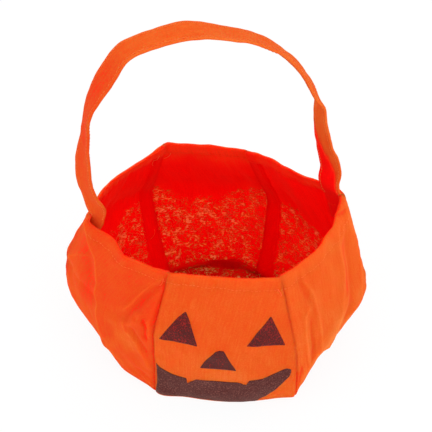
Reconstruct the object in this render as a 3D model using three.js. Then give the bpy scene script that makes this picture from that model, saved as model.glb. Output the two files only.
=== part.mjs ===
// A soft cloth pumpkin bag for sweets: six sewn wall panels with a fold at the waist, a base panel,
// a turned-in hem, one cloth strap sewn inside the rim at both sides, and a face printed on the front.
// Millimetres, +Z up. The origin is under the middle of the base, and the face looks along -Y.

import * as THREE from 'three';

// Cloth and sewing
const CLOTH = 1.5;
const SEWN_GAP = 0.3;
const SEAM_ALLOWANCE = 10;
const BASE_ALLOWANCE = 7;
const HEM_DEPTH = 12;
const LAYER_END_SLOPE = 0.6;
const FOLD_ROUNDING = 0.8;

// Main sizes. The width is across the waist between the side seams, and the depth is from the front
// panel's waist to the back panel's.
const RIM_HEIGHT = 145;
const WAIST_HEIGHT = 76;
const WAIST_WIDTH = 267;
const WAIST_DEPTH = 177.5;
const WAIST_FRONT = -74;
const WAIST_BACK = WAIST_FRONT + WAIST_DEPTH;
const WAIST_MIDDLE = (WAIST_FRONT + WAIST_BACK) / 2;
const FRONT_PANEL_WIDTH = 115;
const BACK_PANEL_WIDTH = 116;

// How much the rim and the base are drawn in from the waist: at each side, in front and behind, and
// how much narrower the front and the back panel are there
const RIM_DRAWN_IN = { side: 32.5, front: 20.5, back: 16.5, frontPanel: 31, backPanel: 41 };
const BASE_DRAWN_IN = { side: 46.5, front: 5, back: 37, frontPanel: -1, backPanel: 30 };

// How far the side seams stand in front of the waist's middle
const SIDE_SEAMS_FORWARD = { rim: 0.75, waist: 5.25, base: 16.25 };

// The wall follows three rings of six corners. Each ring is three straight runs: the front panel's edge,
// the line between the two side seams, and the back panel's edge. x and y place a run's middle, width is
// its length, turn its angle about Z in degrees, lift its middle's height above the ring's own height,
// and rise how much higher its right-hand end is. Uneven turns and rises are the slouch of soft cloth.
const RIM = {
  front: {
    x: 4, y: WAIST_FRONT + RIM_DRAWN_IN.front, width: FRONT_PANEL_WIDTH - RIM_DRAWN_IN.frontPanel,
    turn: -3.4, lift: 0, rise: 0,
  },
  sides: {
    x: 0, y: WAIST_MIDDLE - SIDE_SEAMS_FORWARD.rim, width: WAIST_WIDTH - 2 * RIM_DRAWN_IN.side,
    turn: 2.5, lift: 0, rise: 0,
  },
  back: {
    x: -7, y: WAIST_BACK - RIM_DRAWN_IN.back, width: BACK_PANEL_WIDTH - RIM_DRAWN_IN.backPanel,
    turn: -9, lift: 0, rise: 0,
  },
};
const WAIST = {
  front: { x: 4.5, y: WAIST_FRONT, width: FRONT_PANEL_WIDTH, turn: -2.9, lift: 6, rise: -25 },
  sides: {
    x: 1.5, y: WAIST_MIDDLE - SIDE_SEAMS_FORWARD.waist, width: WAIST_WIDTH,
    turn: -3.3, lift: -5, rise: -26,
  },
  back: { x: -3, y: WAIST_BACK, width: BACK_PANEL_WIDTH, turn: -5.4, lift: 0, rise: 0 },
};
const BASE = {
  front: {
    x: 4, y: WAIST_FRONT + BASE_DRAWN_IN.front, width: FRONT_PANEL_WIDTH - BASE_DRAWN_IN.frontPanel,
    turn: -4.9, lift: 0, rise: 0,
  },
  sides: {
    x: 1, y: WAIST_MIDDLE - SIDE_SEAMS_FORWARD.base, width: WAIST_WIDTH - 2 * BASE_DRAWN_IN.side,
    turn: -1, lift: 0, rise: 0,
  },
  back: {
    x: -1, y: WAIST_BACK - BASE_DRAWN_IN.back, width: BACK_PANEL_WIDTH - BASE_DRAWN_IN.backPanel,
    turn: -2, lift: 0, rise: 0,
  },
};

// How far each panel bows out from the straight line between its seams, and where the rim's bow is
// fullest, as a share of the panel's width from its left seam, seen from outside. A seam's allowances
// lie together on the inside of one of its two panels: leftLaid and rightLaid say which edges carry them.
// columns is how finely a panel is cut between its allowances, and a folded panel is cut more finely.
const PANELS = [
  {
    name: 'front_panel', rimBow: 6, waistBow: 6, baseBow: 10, fullestAt: 0.6,
    leftLaid: false, rightLaid: false, columns: 9,
  },
  {
    name: 'front_right_panel', rimBow: 8, waistBow: 6, baseBow: 4, fullestAt: 0.5,
    leftLaid: true, rightLaid: true, columns: 18,
  },
  {
    name: 'back_right_panel', rimBow: 3, waistBow: 10, baseBow: 9, fullestAt: 0.5,
    leftLaid: false, rightLaid: true, columns: 9,
  },
  {
    name: 'back_panel', rimBow: 3.5, waistBow: 7, baseBow: 9, fullestAt: 0.5,
    leftLaid: false, rightLaid: false, columns: 9,
  },
  {
    name: 'back_left_panel', rimBow: 9, waistBow: 10, baseBow: 9, fullestAt: 0.62,
    leftLaid: true, rightLaid: true, columns: 18,
  },
  {
    name: 'front_left_panel', rimBow: 7, waistBow: 8, baseBow: 15, fullestAt: 0.6,
    leftLaid: false, rightLaid: true, columns: 13,
  },
];
const FRONT_PANEL = 0;
const BACK_RIGHT_PANEL = 2;
const FRONT_LEFT_PANEL = 5;

// How far each seam bellies out below and above the waist, in the order of the corners. The lower belly
// hangs: with no sag it would be fullest half way up.
const SEAM_BELLIES = [
  { corner: 'front left', below: 2, above: 0 },
  { corner: 'front right', below: 6, above: 0 },
  { corner: 'right side', below: 9, above: 1 },
  { corner: 'back right', below: 7, above: -2 },
  { corner: 'back left', below: 7, above: -2 },
  { corner: 'left side', below: 15.5, above: 1 },
];
const LOWER_BELLY_SAG = 1;

// Broad swellings of the whole wall, as soft cloth slumps, and hollows where out is below zero. place counts
// panels round the wall, so that 1.5 is the middle of the panel after the front one, and up is millimetres up
// the cloth. halfWidth is counted in panels too, and halfHeight in millimetres.
const SWELLS = [
  { place: 5, up: 56, out: 2, halfWidth: 0.2, halfHeight: 24 },
  { place: 5.45, up: 17, out: -5.5, halfWidth: 0.17, halfHeight: 15 },
  { place: 6.05, up: -4, out: 4.5, halfWidth: 0.11, halfHeight: 20 },
  { place: 1.85, up: 68, out: 3.2, halfWidth: 0.24, halfHeight: 20 },
  { place: 1.25, up: 26, out: -2.6, halfWidth: 0.13, halfHeight: 13 },
  { place: 1, up: 8, out: 2.2, halfWidth: 0.09, halfHeight: 12 },
  { place: 1.8, up: 138, out: 2.6, halfWidth: 0.38, halfHeight: 30 },
  { place: 2.75, up: 152, out: 1.6, halfWidth: 0.22, halfHeight: 22 },
  { place: 5.58, up: 159, out: 3.4, halfWidth: 0.11, halfHeight: 20 },
  { place: 5.34, up: 159, out: -1, halfWidth: 0.07, halfHeight: 20 },
];

// How far the rim stands above its ring, below zero where it droops: [place round the wall, millimetres]
const RIM_LINE = [
  [0, -4.5], [0.15, -2.6], [0.5, -1.4], [0.8, -2.6], [1, -5.5], [1.3, -4.6], [1.6, -3.6], [1.85, -2.2],
  [2, 0], [2.42, 0], [2.6, 2.6], [2.72, 5], [2.88, 4.4], [3, 2.6], [3.2, 2.4], [3.45, 3],
  [3.62, 1.2], [3.8, 0.8], [3.95, 2.6], [4.05, 2.2], [4.18, 0], [5.3, 0], [5.42, -1.2], [5.52, -4],
  [5.7, -3.8], [5.85, -3.6], [6, -4.5],
];
const RIM_LINE_REACH = 46;

// Main folds of the slack cloth, by panel. Each is drawn downwards through points: the share of the
// panel's width from its left seam, seen from outside, and millimetres up the cloth. height is how far the
// cloth stands out at that line, below zero for a valley, and left and right are the fold's reaches to
// each side. A sharp fold comes to an edge at its line.
const FOLDS = {
  front_right_panel: [
    {
      line: [[0.1, 156], [0.16, 142], [0.22, 132], [0.24, 121], [0.2, 112]],
      height: -1.8, left: 4, right: 3.5,
    },
    {
      line: [[0.2, 141], [0.26, 128], [0.27, 117], [0.27, 105], [0.27, 80], [0.28, 50]],
      height: 1.9, left: 4.5, right: 9, sharp: true,
    },
    {
      line: [[0.21, 119], [0.15, 116], [0.13, 111], [0.12, 96], [0.12, 75], [0.12, 40]],
      height: 1.7, left: 4.5, right: 4.5, sharp: true,
    },
    { line: [[0.21, 113], [0.18, 101], [0.18, 85], [0.18, 64], [0.17, 44]], height: -1.8, left: 3, right: 3 },
    {
      line: [[0.8, 158], [0.75, 150], [0.66, 125], [0.6, 110], [0.52, 99], [0.46, 86], [0.42, 65], [0.42, 40]],
      height: 2.6, left: 16, right: 7, sharp: true,
    },
    {
      line: [[0.83, 150], [0.8, 130], [0.78, 118], [0.72, 103], [0.6, 84], [0.56, 66]],
      height: -3.2, left: 9, right: 8,
    },
    {
      line: [[0.89, 148], [0.9, 137], [0.93, 124], [0.91, 112], [0.85, 97], [0.84, 76]],
      height: 1.6, left: 5, right: 6, sharp: true,
    },
  ],
  back_left_panel: [
    { line: [[0.3, 155], [0.36, 118], [0.32, 84]], height: 1.8, left: 8, right: 10, sharp: true },
    { line: [[0.62, 152], [0.6, 110], [0.68, 70], [0.64, 20]], height: -1.8, left: 9, right: 9 },
    { line: [[0.78, 120], [0.74, 80], [0.8, 40]], height: 1.8, left: 6, right: 8, sharp: true },
  ],
  front_left_panel: [
    {
      line: [[0.31, 132], [0.35, 125], [0.47, 86], [0.49, 62], [0.5, 16]],
      height: 3.2, left: 11, right: 24, sharp: true,
    },
  ],
};
const FOLD_END_FADE = 12;
const FOLD_SEAM_FADE = 5;
const WAIST_ROUNDING = 0.08;
const WAIST_LEVEL = 0.5;

// Strap
const STRAP_WIDTH = 20;
const STRAP_THICKNESS = 3;
const STRAP_EDGE_ROUNDING = 1;
const STRAP_FROM_SEAM = 12;
const TAIL_LENGTH = 26;
const TAIL_GAP = 0.6;
const STRAP_STEP = 8;

// The strap pulls the rim up and out where it is sewn on
const PULL_REACH = 24;
const PULL_FADE_DOWN = 40;
const PULL_LIFT = 4;
const LEFT_PULL_OUT = 4;
const RIGHT_PULL_OUT = 7;

// Where the strap folds over, just above the rim, it narrows to a neck with a round tip
const FOLD_ABOVE_RIM = 7.6;
const FOLD_TIP_RADIUS = 4.8;
const FOLD_NECK_WIDTH = 9;
const FOLD_NECK_HEIGHT = 3;
const FOLD_FLARE_HEIGHT = 6;

// The strap's arch, as points between its two folds: the share of the way from the left fold to the
// right one, and millimetres up from them
const STRAP_ARCH = [
  [-0.045, 31], [-0.045, 54], [-0.02, 79], [0.021, 106], [0.108, 132], [0.157, 145.5], [0.233, 151],
  [0.372, 155], [0.514, 151], [0.663, 140], [0.74, 130.5], [0.808, 117], [0.87, 98], [0.914, 83],
  [0.936, 69], [0.963, 45], [1.001, 17],
];

// How far the strap's width is turned from the bag's front-to-back line, in degrees, by share of its length
const STRAP_TWIST = [
  [0, 42], [0.12, 31], [0.19, 9], [0.24, 4], [0.33, 20], [0.4, 5], [0.55, 2], [0.65, -5], [0.76, 2],
  [0.85, -6], [0.93, -24], [1, -44],
];

// The printed face. Each print is drawn by straight lines across it, from left to right, and each line
// by its lower and its upper end: millimetres across from the front panel's middle line and up its cloth
// from the base.
const PRINT_THICKNESS = 0.5;
const PRINT_GAP = 0.4;
const PRINT_STEP = 5;
const PRINT_ROWS = 8;
const PRINTS = [
  {
    name: 'face_print_left_eye',
    lines: [
      [[-53, 81], [-30.4, 120]],
      [[-23, 83], [-29.6, 120]],
    ],
  },
  {
    name: 'face_print_right_eye',
    lines: [
      [[17, 92], [34.6, 123]],
      [[48, 93], [35.4, 123]],
    ],
  },
  {
    name: 'face_print_nose',
    lines: [
      [[-20, 55], [-9, 78]],
      [[-14, 56], [-5, 82]],
      [[-6, 57], [-1, 83]],
      [[2, 58], [3, 81]],
      [[8, 59], [4, 77]],
    ],
  },
  {
    name: 'face_print_mouth',
    lines: [
      [[-58, 3], [-58, 44]],
      [[-51, 3], [-51, 40]],
      [[-33.4, 3], [-33.4, 38]],
      [[-32, 3], [-32, 30]],
      [[-26, 3], [-26, 37]],
      [[-9, 3], [-9, 40]],
      [[12, 3], [12, 42]],
      [[13.4, 3], [13.4, 40]],
      [[17, 3], [17, 40]],
      [[20, 3], [20, 46]],
      [[26, 3], [28, 49]],
      [[31, 19], [37, 52]],
      [[41, 32], [45, 57]],
      [[52, 48], [51, 60]],
      [[54, 57], [54, 60]],
    ],
  },
];

const CLOTH_ORANGE = new THREE.MeshStandardMaterial({ color: '#ee5520', roughness: 0.95, metalness: 0 });
const BASE_ORANGE = new THREE.MeshStandardMaterial({ color: '#e24a18', roughness: 0.95, metalness: 0 });
const STRAP_ORANGE = new THREE.MeshStandardMaterial({ color: '#ef5c26', roughness: 0.95, metalness: 0 });
const PRINT_MAROON = new THREE.MeshStandardMaterial({ color: '#45191a', roughness: 0.8, metalness: 0 });

const RADIANS = Math.PI / 180;
const mix = THREE.MathUtils.lerp;
const smooth = THREE.MathUtils.smoothstep;

// The two ends of one straight run of a ring
function runEnds({ x, y, width, turn, lift, rise }, height) {
  const alongX = (width / 2) * Math.cos(turn * RADIANS);
  const alongY = (width / 2) * Math.sin(turn * RADIANS);
  const middle = height + lift;
  return {
    left: new THREE.Vector3(x - alongX, y - alongY, middle - rise / 2),
    right: new THREE.Vector3(x + alongX, y + alongY, middle + rise / 2),
  };
}

// A ring's six corners, anticlockwise seen from above, starting at the front left
function ringCorners(ring, height) {
  const front = runEnds(ring.front, height);
  const sides = runEnds(ring.sides, height);
  const back = runEnds(ring.back, height);
  return [front.left, front.right, sides.right, back.right, back.left, sides.left];
}

const RIM_CORNERS = ringCorners(RIM, RIM_HEIGHT);
const WAIST_CORNERS = ringCorners(WAIST, WAIST_HEIGHT);
const BASE_CORNERS = ringCorners(BASE, 0);
const CORNERS = RIM_CORNERS.length;

// Mean length of the six seams from the waist up to the rim, or down to the base
function meanSeamLength(corners) {
  const lengths = corners.map((corner, index) => corner.distanceTo(WAIST_CORNERS[index]));
  return lengths.reduce((total, length) => total + length, 0) / lengths.length;
}

const LEVEL_PER_MM_ABOVE = (1 - WAIST_LEVEL) / meanSeamLength(RIM_CORNERS);
const LEVEL_PER_MM_BELOW = WAIST_LEVEL / meanSeamLength(BASE_CORNERS);
const WAIST_UP_CLOTH = WAIST_LEVEL / LEVEL_PER_MM_BELOW;
const RIM_UP_CLOTH = WAIST_UP_CLOTH + (1 - WAIST_LEVEL) / LEVEL_PER_MM_ABOVE;

// The level at millimetres up the cloth from the base, and the other way round
function levelAt(up) {
  return up < WAIST_UP_CLOTH
    ? up * LEVEL_PER_MM_BELOW
    : WAIST_LEVEL + (up - WAIST_UP_CLOTH) * LEVEL_PER_MM_ABOVE;
}

function upClothAt(level) {
  return level < WAIST_LEVEL
    ? level / LEVEL_PER_MM_BELOW
    : WAIST_UP_CLOTH + (level - WAIST_LEVEL) / LEVEL_PER_MM_ABOVE;
}

// A seam before its belly is added. Level 0 is the base, WAIST_LEVEL the waist and 1 the rim.
function straightSeam(corner, level) {
  const base = BASE_CORNERS[corner];
  const waist = WAIST_CORNERS[corner];
  const rim = RIM_CORNERS[corner];
  const below = base.clone().lerp(waist, 1 - WAIST_ROUNDING / WAIST_LEVEL);
  const above = waist.clone().lerp(rim, WAIST_ROUNDING / (1 - WAIST_LEVEL));
  const bendStart = WAIST_LEVEL - WAIST_ROUNDING;
  const bendEnd = WAIST_LEVEL + WAIST_ROUNDING;
  if (level < bendStart) {
    return base.clone().lerp(below, level / bendStart);
  }
  if (level > bendEnd) {
    return above.clone().lerp(rim, (level - bendEnd) / (1 - bendEnd));
  }
  const bend = new THREE.QuadraticBezierCurve3(below, waist, above);
  return bend.getPoint((level - bendStart) / (bendEnd - bendStart));
}

// Level unit vector along a panel, from its left seam to its right seam
function alongPanel(panel, level) {
  const start = straightSeam(panel, level);
  const end = straightSeam((panel + 1) % CORNERS, level);
  return end.sub(start).setZ(0).normalize();
}

function outwardNormal(along) {
  return new THREE.Vector3(along.y, -along.x, 0);
}

// Level vector that moves both panels at a seam inwards by one millimetre each
function inwardAtSeam(corner, level) {
  const before = outwardNormal(alongPanel((corner + CORNERS - 1) % CORNERS, level));
  const after = outwardNormal(alongPanel(corner, level));
  return before.clone().add(after).divideScalar(-(1 + before.dot(after)));
}

// A seam's point at a level, moved inwards by depth
function seamPoint(corner, level, depth) {
  const lower = level < WAIST_LEVEL;
  const share = lower ? level / WAIST_LEVEL : (level - WAIST_LEVEL) / (1 - WAIST_LEVEL);
  const place = lower ? share * (1 + LOWER_BELLY_SAG) / (1 + LOWER_BELLY_SAG * share) : share;
  const { below, above } = SEAM_BELLIES[corner];
  const belly = (lower ? below : above) * 4 * place * (1 - place);
  return straightSeam(corner, level).addScaledVector(inwardAtSeam(corner, level), depth - belly);
}

// How far a panel bows out at a share of its width and a level
function bowAt({ rimBow, waistBow, baseBow, fullestAt }, share, level) {
  const upper = level > WAIST_LEVEL;
  const amount = upper
    ? mix(waistBow, rimBow, (level - WAIST_LEVEL) / (1 - WAIST_LEVEL))
    : mix(baseBow, waistBow, level / WAIST_LEVEL);
  const fullest = upper ? mix(0.5, fullestAt, (level - WAIST_LEVEL) / (1 - WAIST_LEVEL)) : 0.5;
  const evened = Math.pow(share, Math.log(0.5) / Math.log(fullest));
  return amount * 4 * evened * (1 - evened);
}

// How far the wall swells out at a place round it and a height up its cloth
function swellingAt(place, up) {
  return SWELLS.reduce((sum, swell) => {
    const away = THREE.MathUtils.euclideanModulo(place - swell.place + CORNERS / 2, CORNERS) - CORNERS / 2;
    const over = (away / swell.halfWidth) ** 2 + ((up - swell.up) / swell.halfHeight) ** 2;
    return sum + swell.out * Math.exp(-over);
  }, 0);
}

// A point in a panel's cloth before the strap pulls on it
function restingPoint(panel, share, level, depth) {
  const place = panel + share;
  const up = upClothAt(level);
  const nearRim = smooth(up, RIM_UP_CLOTH - RIM_LINE_REACH, RIM_UP_CLOTH);
  const raised = levelAt(up + easedValue(RIM_LINE, place) * nearRim);
  const sunk = depth - swellingAt(place, up);
  const along = alongPanel(panel, raised);
  const start = seamPoint(panel, raised, sunk).addScaledVector(along, SEWN_GAP / 2);
  const end = seamPoint((panel + 1) % CORNERS, raised, sunk).addScaledVector(along, -SEWN_GAP / 2);
  return start.lerp(end, share).addScaledVector(outwardNormal(along), bowAt(PANELS[panel], share, raised));
}

// The rim point behind the middle of a strap end, and the way out of the bag there
function strapSeat(panel, fromLeftSeam) {
  const width = RIM_CORNERS[panel].distanceTo(RIM_CORNERS[(panel + 1) % CORNERS]);
  const share = (fromLeftSeam ? STRAP_FROM_SEAM : width - STRAP_FROM_SEAM) / width;
  return { panel, share, rim: restingPoint(panel, share, 1, 0), outward: outwardNormal(alongPanel(panel, 1)) };
}

const LEFT_SEAT = { ...strapSeat(FRONT_LEFT_PANEL, true), pullOut: LEFT_PULL_OUT };
const RIGHT_SEAT = { ...strapSeat(BACK_RIGHT_PANEL, true), pullOut: RIGHT_PULL_OUT };

// Moves a point of the resting cloth as the strap's two ends pull it up and out
function pulled(point) {
  const moved = point.clone();
  for (const { rim, outward, pullOut } of [LEFT_SEAT, RIGHT_SEAT]) {
    const across = Math.hypot(point.x - rim.x, point.y - rim.y) / PULL_REACH;
    const down = Math.max(0, rim.z - point.z) / PULL_FADE_DOWN;
    const strength = Math.exp(-(across * across + down * down));
    moved.addScaledVector(outward, pullOut * strength);
    moved.z += PULL_LIFT * strength;
  }
  return moved;
}

// A panel's width between its seams at a level
function panelWidth(panel, level) {
  return seamPoint(panel, level, 0).distanceTo(seamPoint((panel + 1) % CORNERS, level, 0));
}

// How far one fold makes the cloth stand out at a place, in millimetres across the panel and up it
function oneFoldHeight(panel, { line, height, left, right, sharp }, across, up) {
  const nodes = line.map(([share, nodeUp]) => [share * panelWidth(panel, levelAt(nodeUp)), nodeUp]);
  const nearest = { distance: Infinity, side: 0, along: 0 };
  let travelled = 0;
  for (let index = 1; index < nodes.length; index += 1) {
    const [startX, startY] = nodes[index - 1];
    const [runX, runY] = [nodes[index][0] - startX, nodes[index][1] - startY];
    const [toX, toY] = [across - startX, up - startY];
    const length = Math.hypot(runX, runY);
    const share = THREE.MathUtils.clamp((toX * runX + toY * runY) / (length * length), 0, 1);
    const distance = Math.hypot(toX - runX * share, toY - runY * share);
    if (distance < nearest.distance) {
      Object.assign(nearest, { distance, side: runX * toY - runY * toX, along: travelled + share * length });
    }
    travelled += length;
  }
  const fade = Math.min(FOLD_END_FADE, travelled / 2);
  const strength = smooth(nearest.along, -1, fade) * smooth(travelled - nearest.along, -1, fade);
  const over = nearest.distance / (nearest.side > 0 ? right : left);
  return height * strength * (sharp ? Math.exp(-1.6 * over) : Math.exp(-over * over));
}

// How far all the folds of a panel make it stand out. They fade at its seams, so neighbours still meet.
function foldHeight(panel, share, level) {
  const folds = FOLDS[PANELS[panel].name] ?? [];
  const width = panelWidth(panel, level);
  const across = share * width;
  const up = upClothAt(level);
  const total = folds.reduce((sum, fold) => sum + oneFoldHeight(panel, fold, across, up), 0);
  return total * smooth(across, 0, FOLD_SEAM_FADE) * smooth(width - across, 0, FOLD_SEAM_FADE);
}

// A point in a panel's cloth: share runs from its left seam to its right, seen from outside, level from
// base to rim, and depth inwards from the outer face
function panelPoint(panel, share, level, depth) {
  return pulled(restingPoint(panel, share, level, depth - foldHeight(panel, share, level)));
}

// Joins a grid of outer points and a grid of inner points, row by row, into one closed shell
function shellGeometry(outer, inner) {
  const rows = outer.length;
  const columns = outer[0].length;
  const positions = [...outer.flat(), ...inner.flat()].flatMap((point) => point.toArray());
  const innerStart = rows * columns;
  const index = [];
  const quad = (a, b, c, d) => index.push(a, b, c, a, c, d);
  const at = (row, column) => row * columns + column;
  for (let row = 0; row < rows - 1; row += 1) {
    for (let column = 0; column < columns - 1; column += 1) {
      const [a, b] = [at(row, column), at(row, column + 1)];
      const [c, d] = [at(row + 1, column + 1), at(row + 1, column)];
      quad(a, b, c, d);
      quad(innerStart + a, innerStart + d, innerStart + c, innerStart + b);
    }
    const [firstLow, firstHigh] = [at(row, 0), at(row + 1, 0)];
    const [lastLow, lastHigh] = [at(row, columns - 1), at(row + 1, columns - 1)];
    quad(innerStart + firstLow, firstLow, firstHigh, innerStart + firstHigh);
    quad(lastLow, innerStart + lastLow, innerStart + lastHigh, lastHigh);
  }
  for (let column = 0; column < columns - 1; column += 1) {
    const [lowLeft, lowRight] = [at(0, column), at(0, column + 1)];
    const [highLeft, highRight] = [at(rows - 1, column), at(rows - 1, column + 1)];
    quad(innerStart + lowLeft, innerStart + lowRight, lowRight, lowLeft);
    quad(highLeft, highRight, innerStart + highRight, innerStart + highLeft);
  }
  return indexedGeometry(positions, index);
}

function indexedGeometry(positions, index) {
  const geometry = new THREE.BufferGeometry();
  geometry.setAttribute('position', new THREE.Float32BufferAttribute(positions, 3));
  geometry.setIndex(index);
  geometry.computeVertexNormals();
  return geometry;
}

function evenSteps(start, end, count) {
  return Array.from({ length: count + 1 }, (_, step) => mix(start, end, step / count));
}

// The levels of a panel's rows, with a pair where each turned-in layer ends
function panelLevels() {
  const allowanceEnd = BASE_ALLOWANCE * LEVEL_PER_MM_BELOW;
  const allowanceSlope = LAYER_END_SLOPE * LEVEL_PER_MM_BELOW;
  const hemEnd = 1 - HEM_DEPTH * LEVEL_PER_MM_ABOVE;
  const hemSlope = LAYER_END_SLOPE * LEVEL_PER_MM_ABOVE;
  const bendStart = WAIST_LEVEL - WAIST_ROUNDING;
  const bendEnd = WAIST_LEVEL + WAIST_ROUNDING;
  return [
    0, FOLD_ROUNDING * LEVEL_PER_MM_BELOW, allowanceEnd,
    ...evenSteps(allowanceEnd + allowanceSlope, bendStart, 8),
    ...evenSteps(bendStart, bendEnd, 4).slice(1),
    ...evenSteps(bendEnd, hemEnd - hemSlope, 4).slice(1),
    ...evenSteps(hemEnd, 1 - FOLD_ROUNDING * LEVEL_PER_MM_ABOVE, 2), 1,
  ];
}

function waistWidth(panel) {
  return WAIST_CORNERS[panel].distanceTo(WAIST_CORNERS[(panel + 1) % CORNERS]);
}

// The shares of a panel's columns, with a pair where each seam allowance ends
function panelShares(panel) {
  const allowance = SEAM_ALLOWANCE / waistWidth(panel);
  const slope = LAYER_END_SLOPE / waistWidth(panel);
  const between = evenSteps(allowance + slope, 1 - allowance - slope, PANELS[panel].columns);
  return [0, allowance, ...between, 1 - allowance, 1];
}

// Layers of cloth at a place in a panel: one, two where the hem or the base seam is turned in, and
// three where a side seam's two allowances are laid over
function layersAt({ leftLaid, rightLaid }, share, level, width) {
  const fromLeft = share * width;
  const fromRight = (1 - share) * width;
  if ((leftLaid && fromLeft <= SEAM_ALLOWANCE) || (rightLaid && fromRight <= SEAM_ALLOWANCE)) {
    return 3;
  }
  const turnedIn = 1 - level <= HEM_DEPTH * LEVEL_PER_MM_ABOVE || level <= BASE_ALLOWANCE * LEVEL_PER_MM_BELOW;
  return turnedIn ? 2 : 1;
}

// One wall panel, with its layers and its rounded folds
function wallPanel(panel) {
  const shares = panelShares(panel);
  const outer = [];
  const inner = [];
  for (const level of panelLevels()) {
    const outerRounding = level === 0 || level === 1 ? FOLD_ROUNDING : 0;
    const innerRounding = level === 1 ? FOLD_ROUNDING : 0;
    outer.push(shares.map((share) => panelPoint(panel, share, level, outerRounding)));
    inner.push(shares.map((share) => {
      const layers = layersAt(PANELS[panel], share, level, waistWidth(panel));
      return panelPoint(panel, share, level, layers * CLOTH - innerRounding);
    }));
  }
  return shellGeometry(outer, inner);
}

// The base: a flat panel whose seam allowance is turned up inside the wall, as one closed tray. Its columns
// are the wall's own, so that the two lie side by side all round.
function basePanel() {
  const columns = PANELS.flatMap((_, panel) => panelShares(panel).slice(0, -1).map((share) => [panel, share]));
  const outside = 3 * CLOTH + SEWN_GAP;
  const inside = outside + CLOTH;
  const top = BASE_ALLOWANCE * LEVEL_PER_MM_BELOW;
  const floorLevel = CLOTH / WAIST_HEIGHT * WAIST_LEVEL;
  const profile = [[outside, 0], [outside, top], [inside, top], [inside, floorLevel]];
  const positions = [];
  for (const [depth, level] of profile) {
    for (const [panel, share] of columns) {
      const point = restingPoint(panel, share, level, depth);
      positions.push(point.x, point.y, level === floorLevel ? CLOTH : point.z);
    }
  }
  const around = columns.length;
  const underMiddle = positions.length / 3;
  const aboveMiddle = underMiddle + 1;
  positions.push(0, 0, 0, 0, 0, CLOTH);
  const index = [];
  for (let step = 0; step < around; step += 1) {
    const next = (step + 1) % around;
    for (let ring = 0; ring < profile.length - 1; ring += 1) {
      const [low, high] = [ring * around, (ring + 1) * around];
      index.push(low + step, low + next, high + next, low + step, high + next, high + step);
    }
    const last = (profile.length - 1) * around;
    index.push(underMiddle, next, step, aboveMiddle, last + step, last + next);
  }
  return indexedGeometry(positions, index);
}

// Where the strap folds over at each side, on one level line above the rim
function foldPoint({ panel, share }) {
  const depth = 2 * CLOTH + TAIL_GAP + STRAP_THICKNESS / 2;
  const point = panelPoint(panel, share, 1, depth);
  return point.setZ(RIM_HEIGHT + PULL_LIFT + FOLD_ABOVE_RIM);
}

const LEFT_FOLD = foldPoint(LEFT_SEAT);
const RIGHT_FOLD = foldPoint(RIGHT_SEAT);
const FOLD_LINE = RIGHT_FOLD.clone().sub(LEFT_FOLD).normalize();
const FRONTWARD = outwardNormal(FOLD_LINE);

// The closed outline of a flat band's cross-section, across its width and its thickness
function bandSection(width, thickness) {
  const rounding = Math.min(STRAP_EDGE_ROUNDING, width / 3, thickness / 3);
  const [halfWidth, halfThickness] = [width / 2, thickness / 2];
  return [
    [halfWidth, -halfThickness + rounding], [halfWidth, halfThickness - rounding],
    [halfWidth - rounding, halfThickness], [-halfWidth + rounding, halfThickness],
    [-halfWidth, halfThickness - rounding], [-halfWidth, -halfThickness + rounding],
    [-halfWidth + rounding, -halfThickness], [halfWidth - rounding, -halfThickness],
  ];
}

// A closed band through stations, each with a centre, its width's direction, its face's direction and a width
function bandGeometry(stations) {
  const sides = bandSection(1, 1).length;
  const positions = [];
  for (const { centre, across, face, width } of stations) {
    for (const [alongWidth, alongFace] of bandSection(width, STRAP_THICKNESS)) {
      const point = centre.clone().addScaledVector(across, alongWidth).addScaledVector(face, alongFace);
      positions.push(point.x, point.y, point.z);
    }
  }
  const index = [];
  for (let station = 0; station < stations.length - 1; station += 1) {
    for (let side = 0; side < sides; side += 1) {
      const next = (side + 1) % sides;
      const [low, high] = [station * sides, (station + 1) * sides];
      index.push(low + side, low + next, high + next, low + side, high + next, high + side);
    }
  }
  const last = (stations.length - 1) * sides;
  for (let side = 1; side < sides - 1; side += 1) {
    index.push(0, side + 1, side, last, last + side, last + side + 1);
  }
  return indexedGeometry(positions, index);
}

// A value read from a list of [place, value] pairs, eased between them
function easedValue(pairs, place) {
  const after = pairs.findIndex(([start]) => start >= place);
  if (after <= 0) {
    return after === 0 ? pairs[0][1] : pairs[pairs.length - 1][1];
  }
  const [startPlace, startValue] = pairs[after - 1];
  const [endPlace, endValue] = pairs[after];
  return mix(startValue, endValue, smooth(place, startPlace, endPlace));
}

// The strap's width at a height above its fold: round tip, neck, flare, then full width
function widthAboveFold(height) {
  if (height < 0) {
    return FOLD_NECK_WIDTH * Math.sqrt(Math.max(0.04, 1 - (height / FOLD_TIP_RADIUS) ** 2));
  }
  const flare = THREE.MathUtils.clamp((height - FOLD_NECK_HEIGHT) / FOLD_FLARE_HEIGHT, 0, 1);
  return mix(FOLD_NECK_WIDTH, STRAP_WIDTH, flare);
}

// Distances along the strap from its fold at which its sections are cut, close together at its end
function endDistances() {
  const tip = [90, 60, 30].map((angle) => -FOLD_TIP_RADIUS * Math.sin(angle * RADIANS));
  return [...tip, 0, FOLD_NECK_HEIGHT, FOLD_NECK_HEIGHT + FOLD_FLARE_HEIGHT];
}

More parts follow.
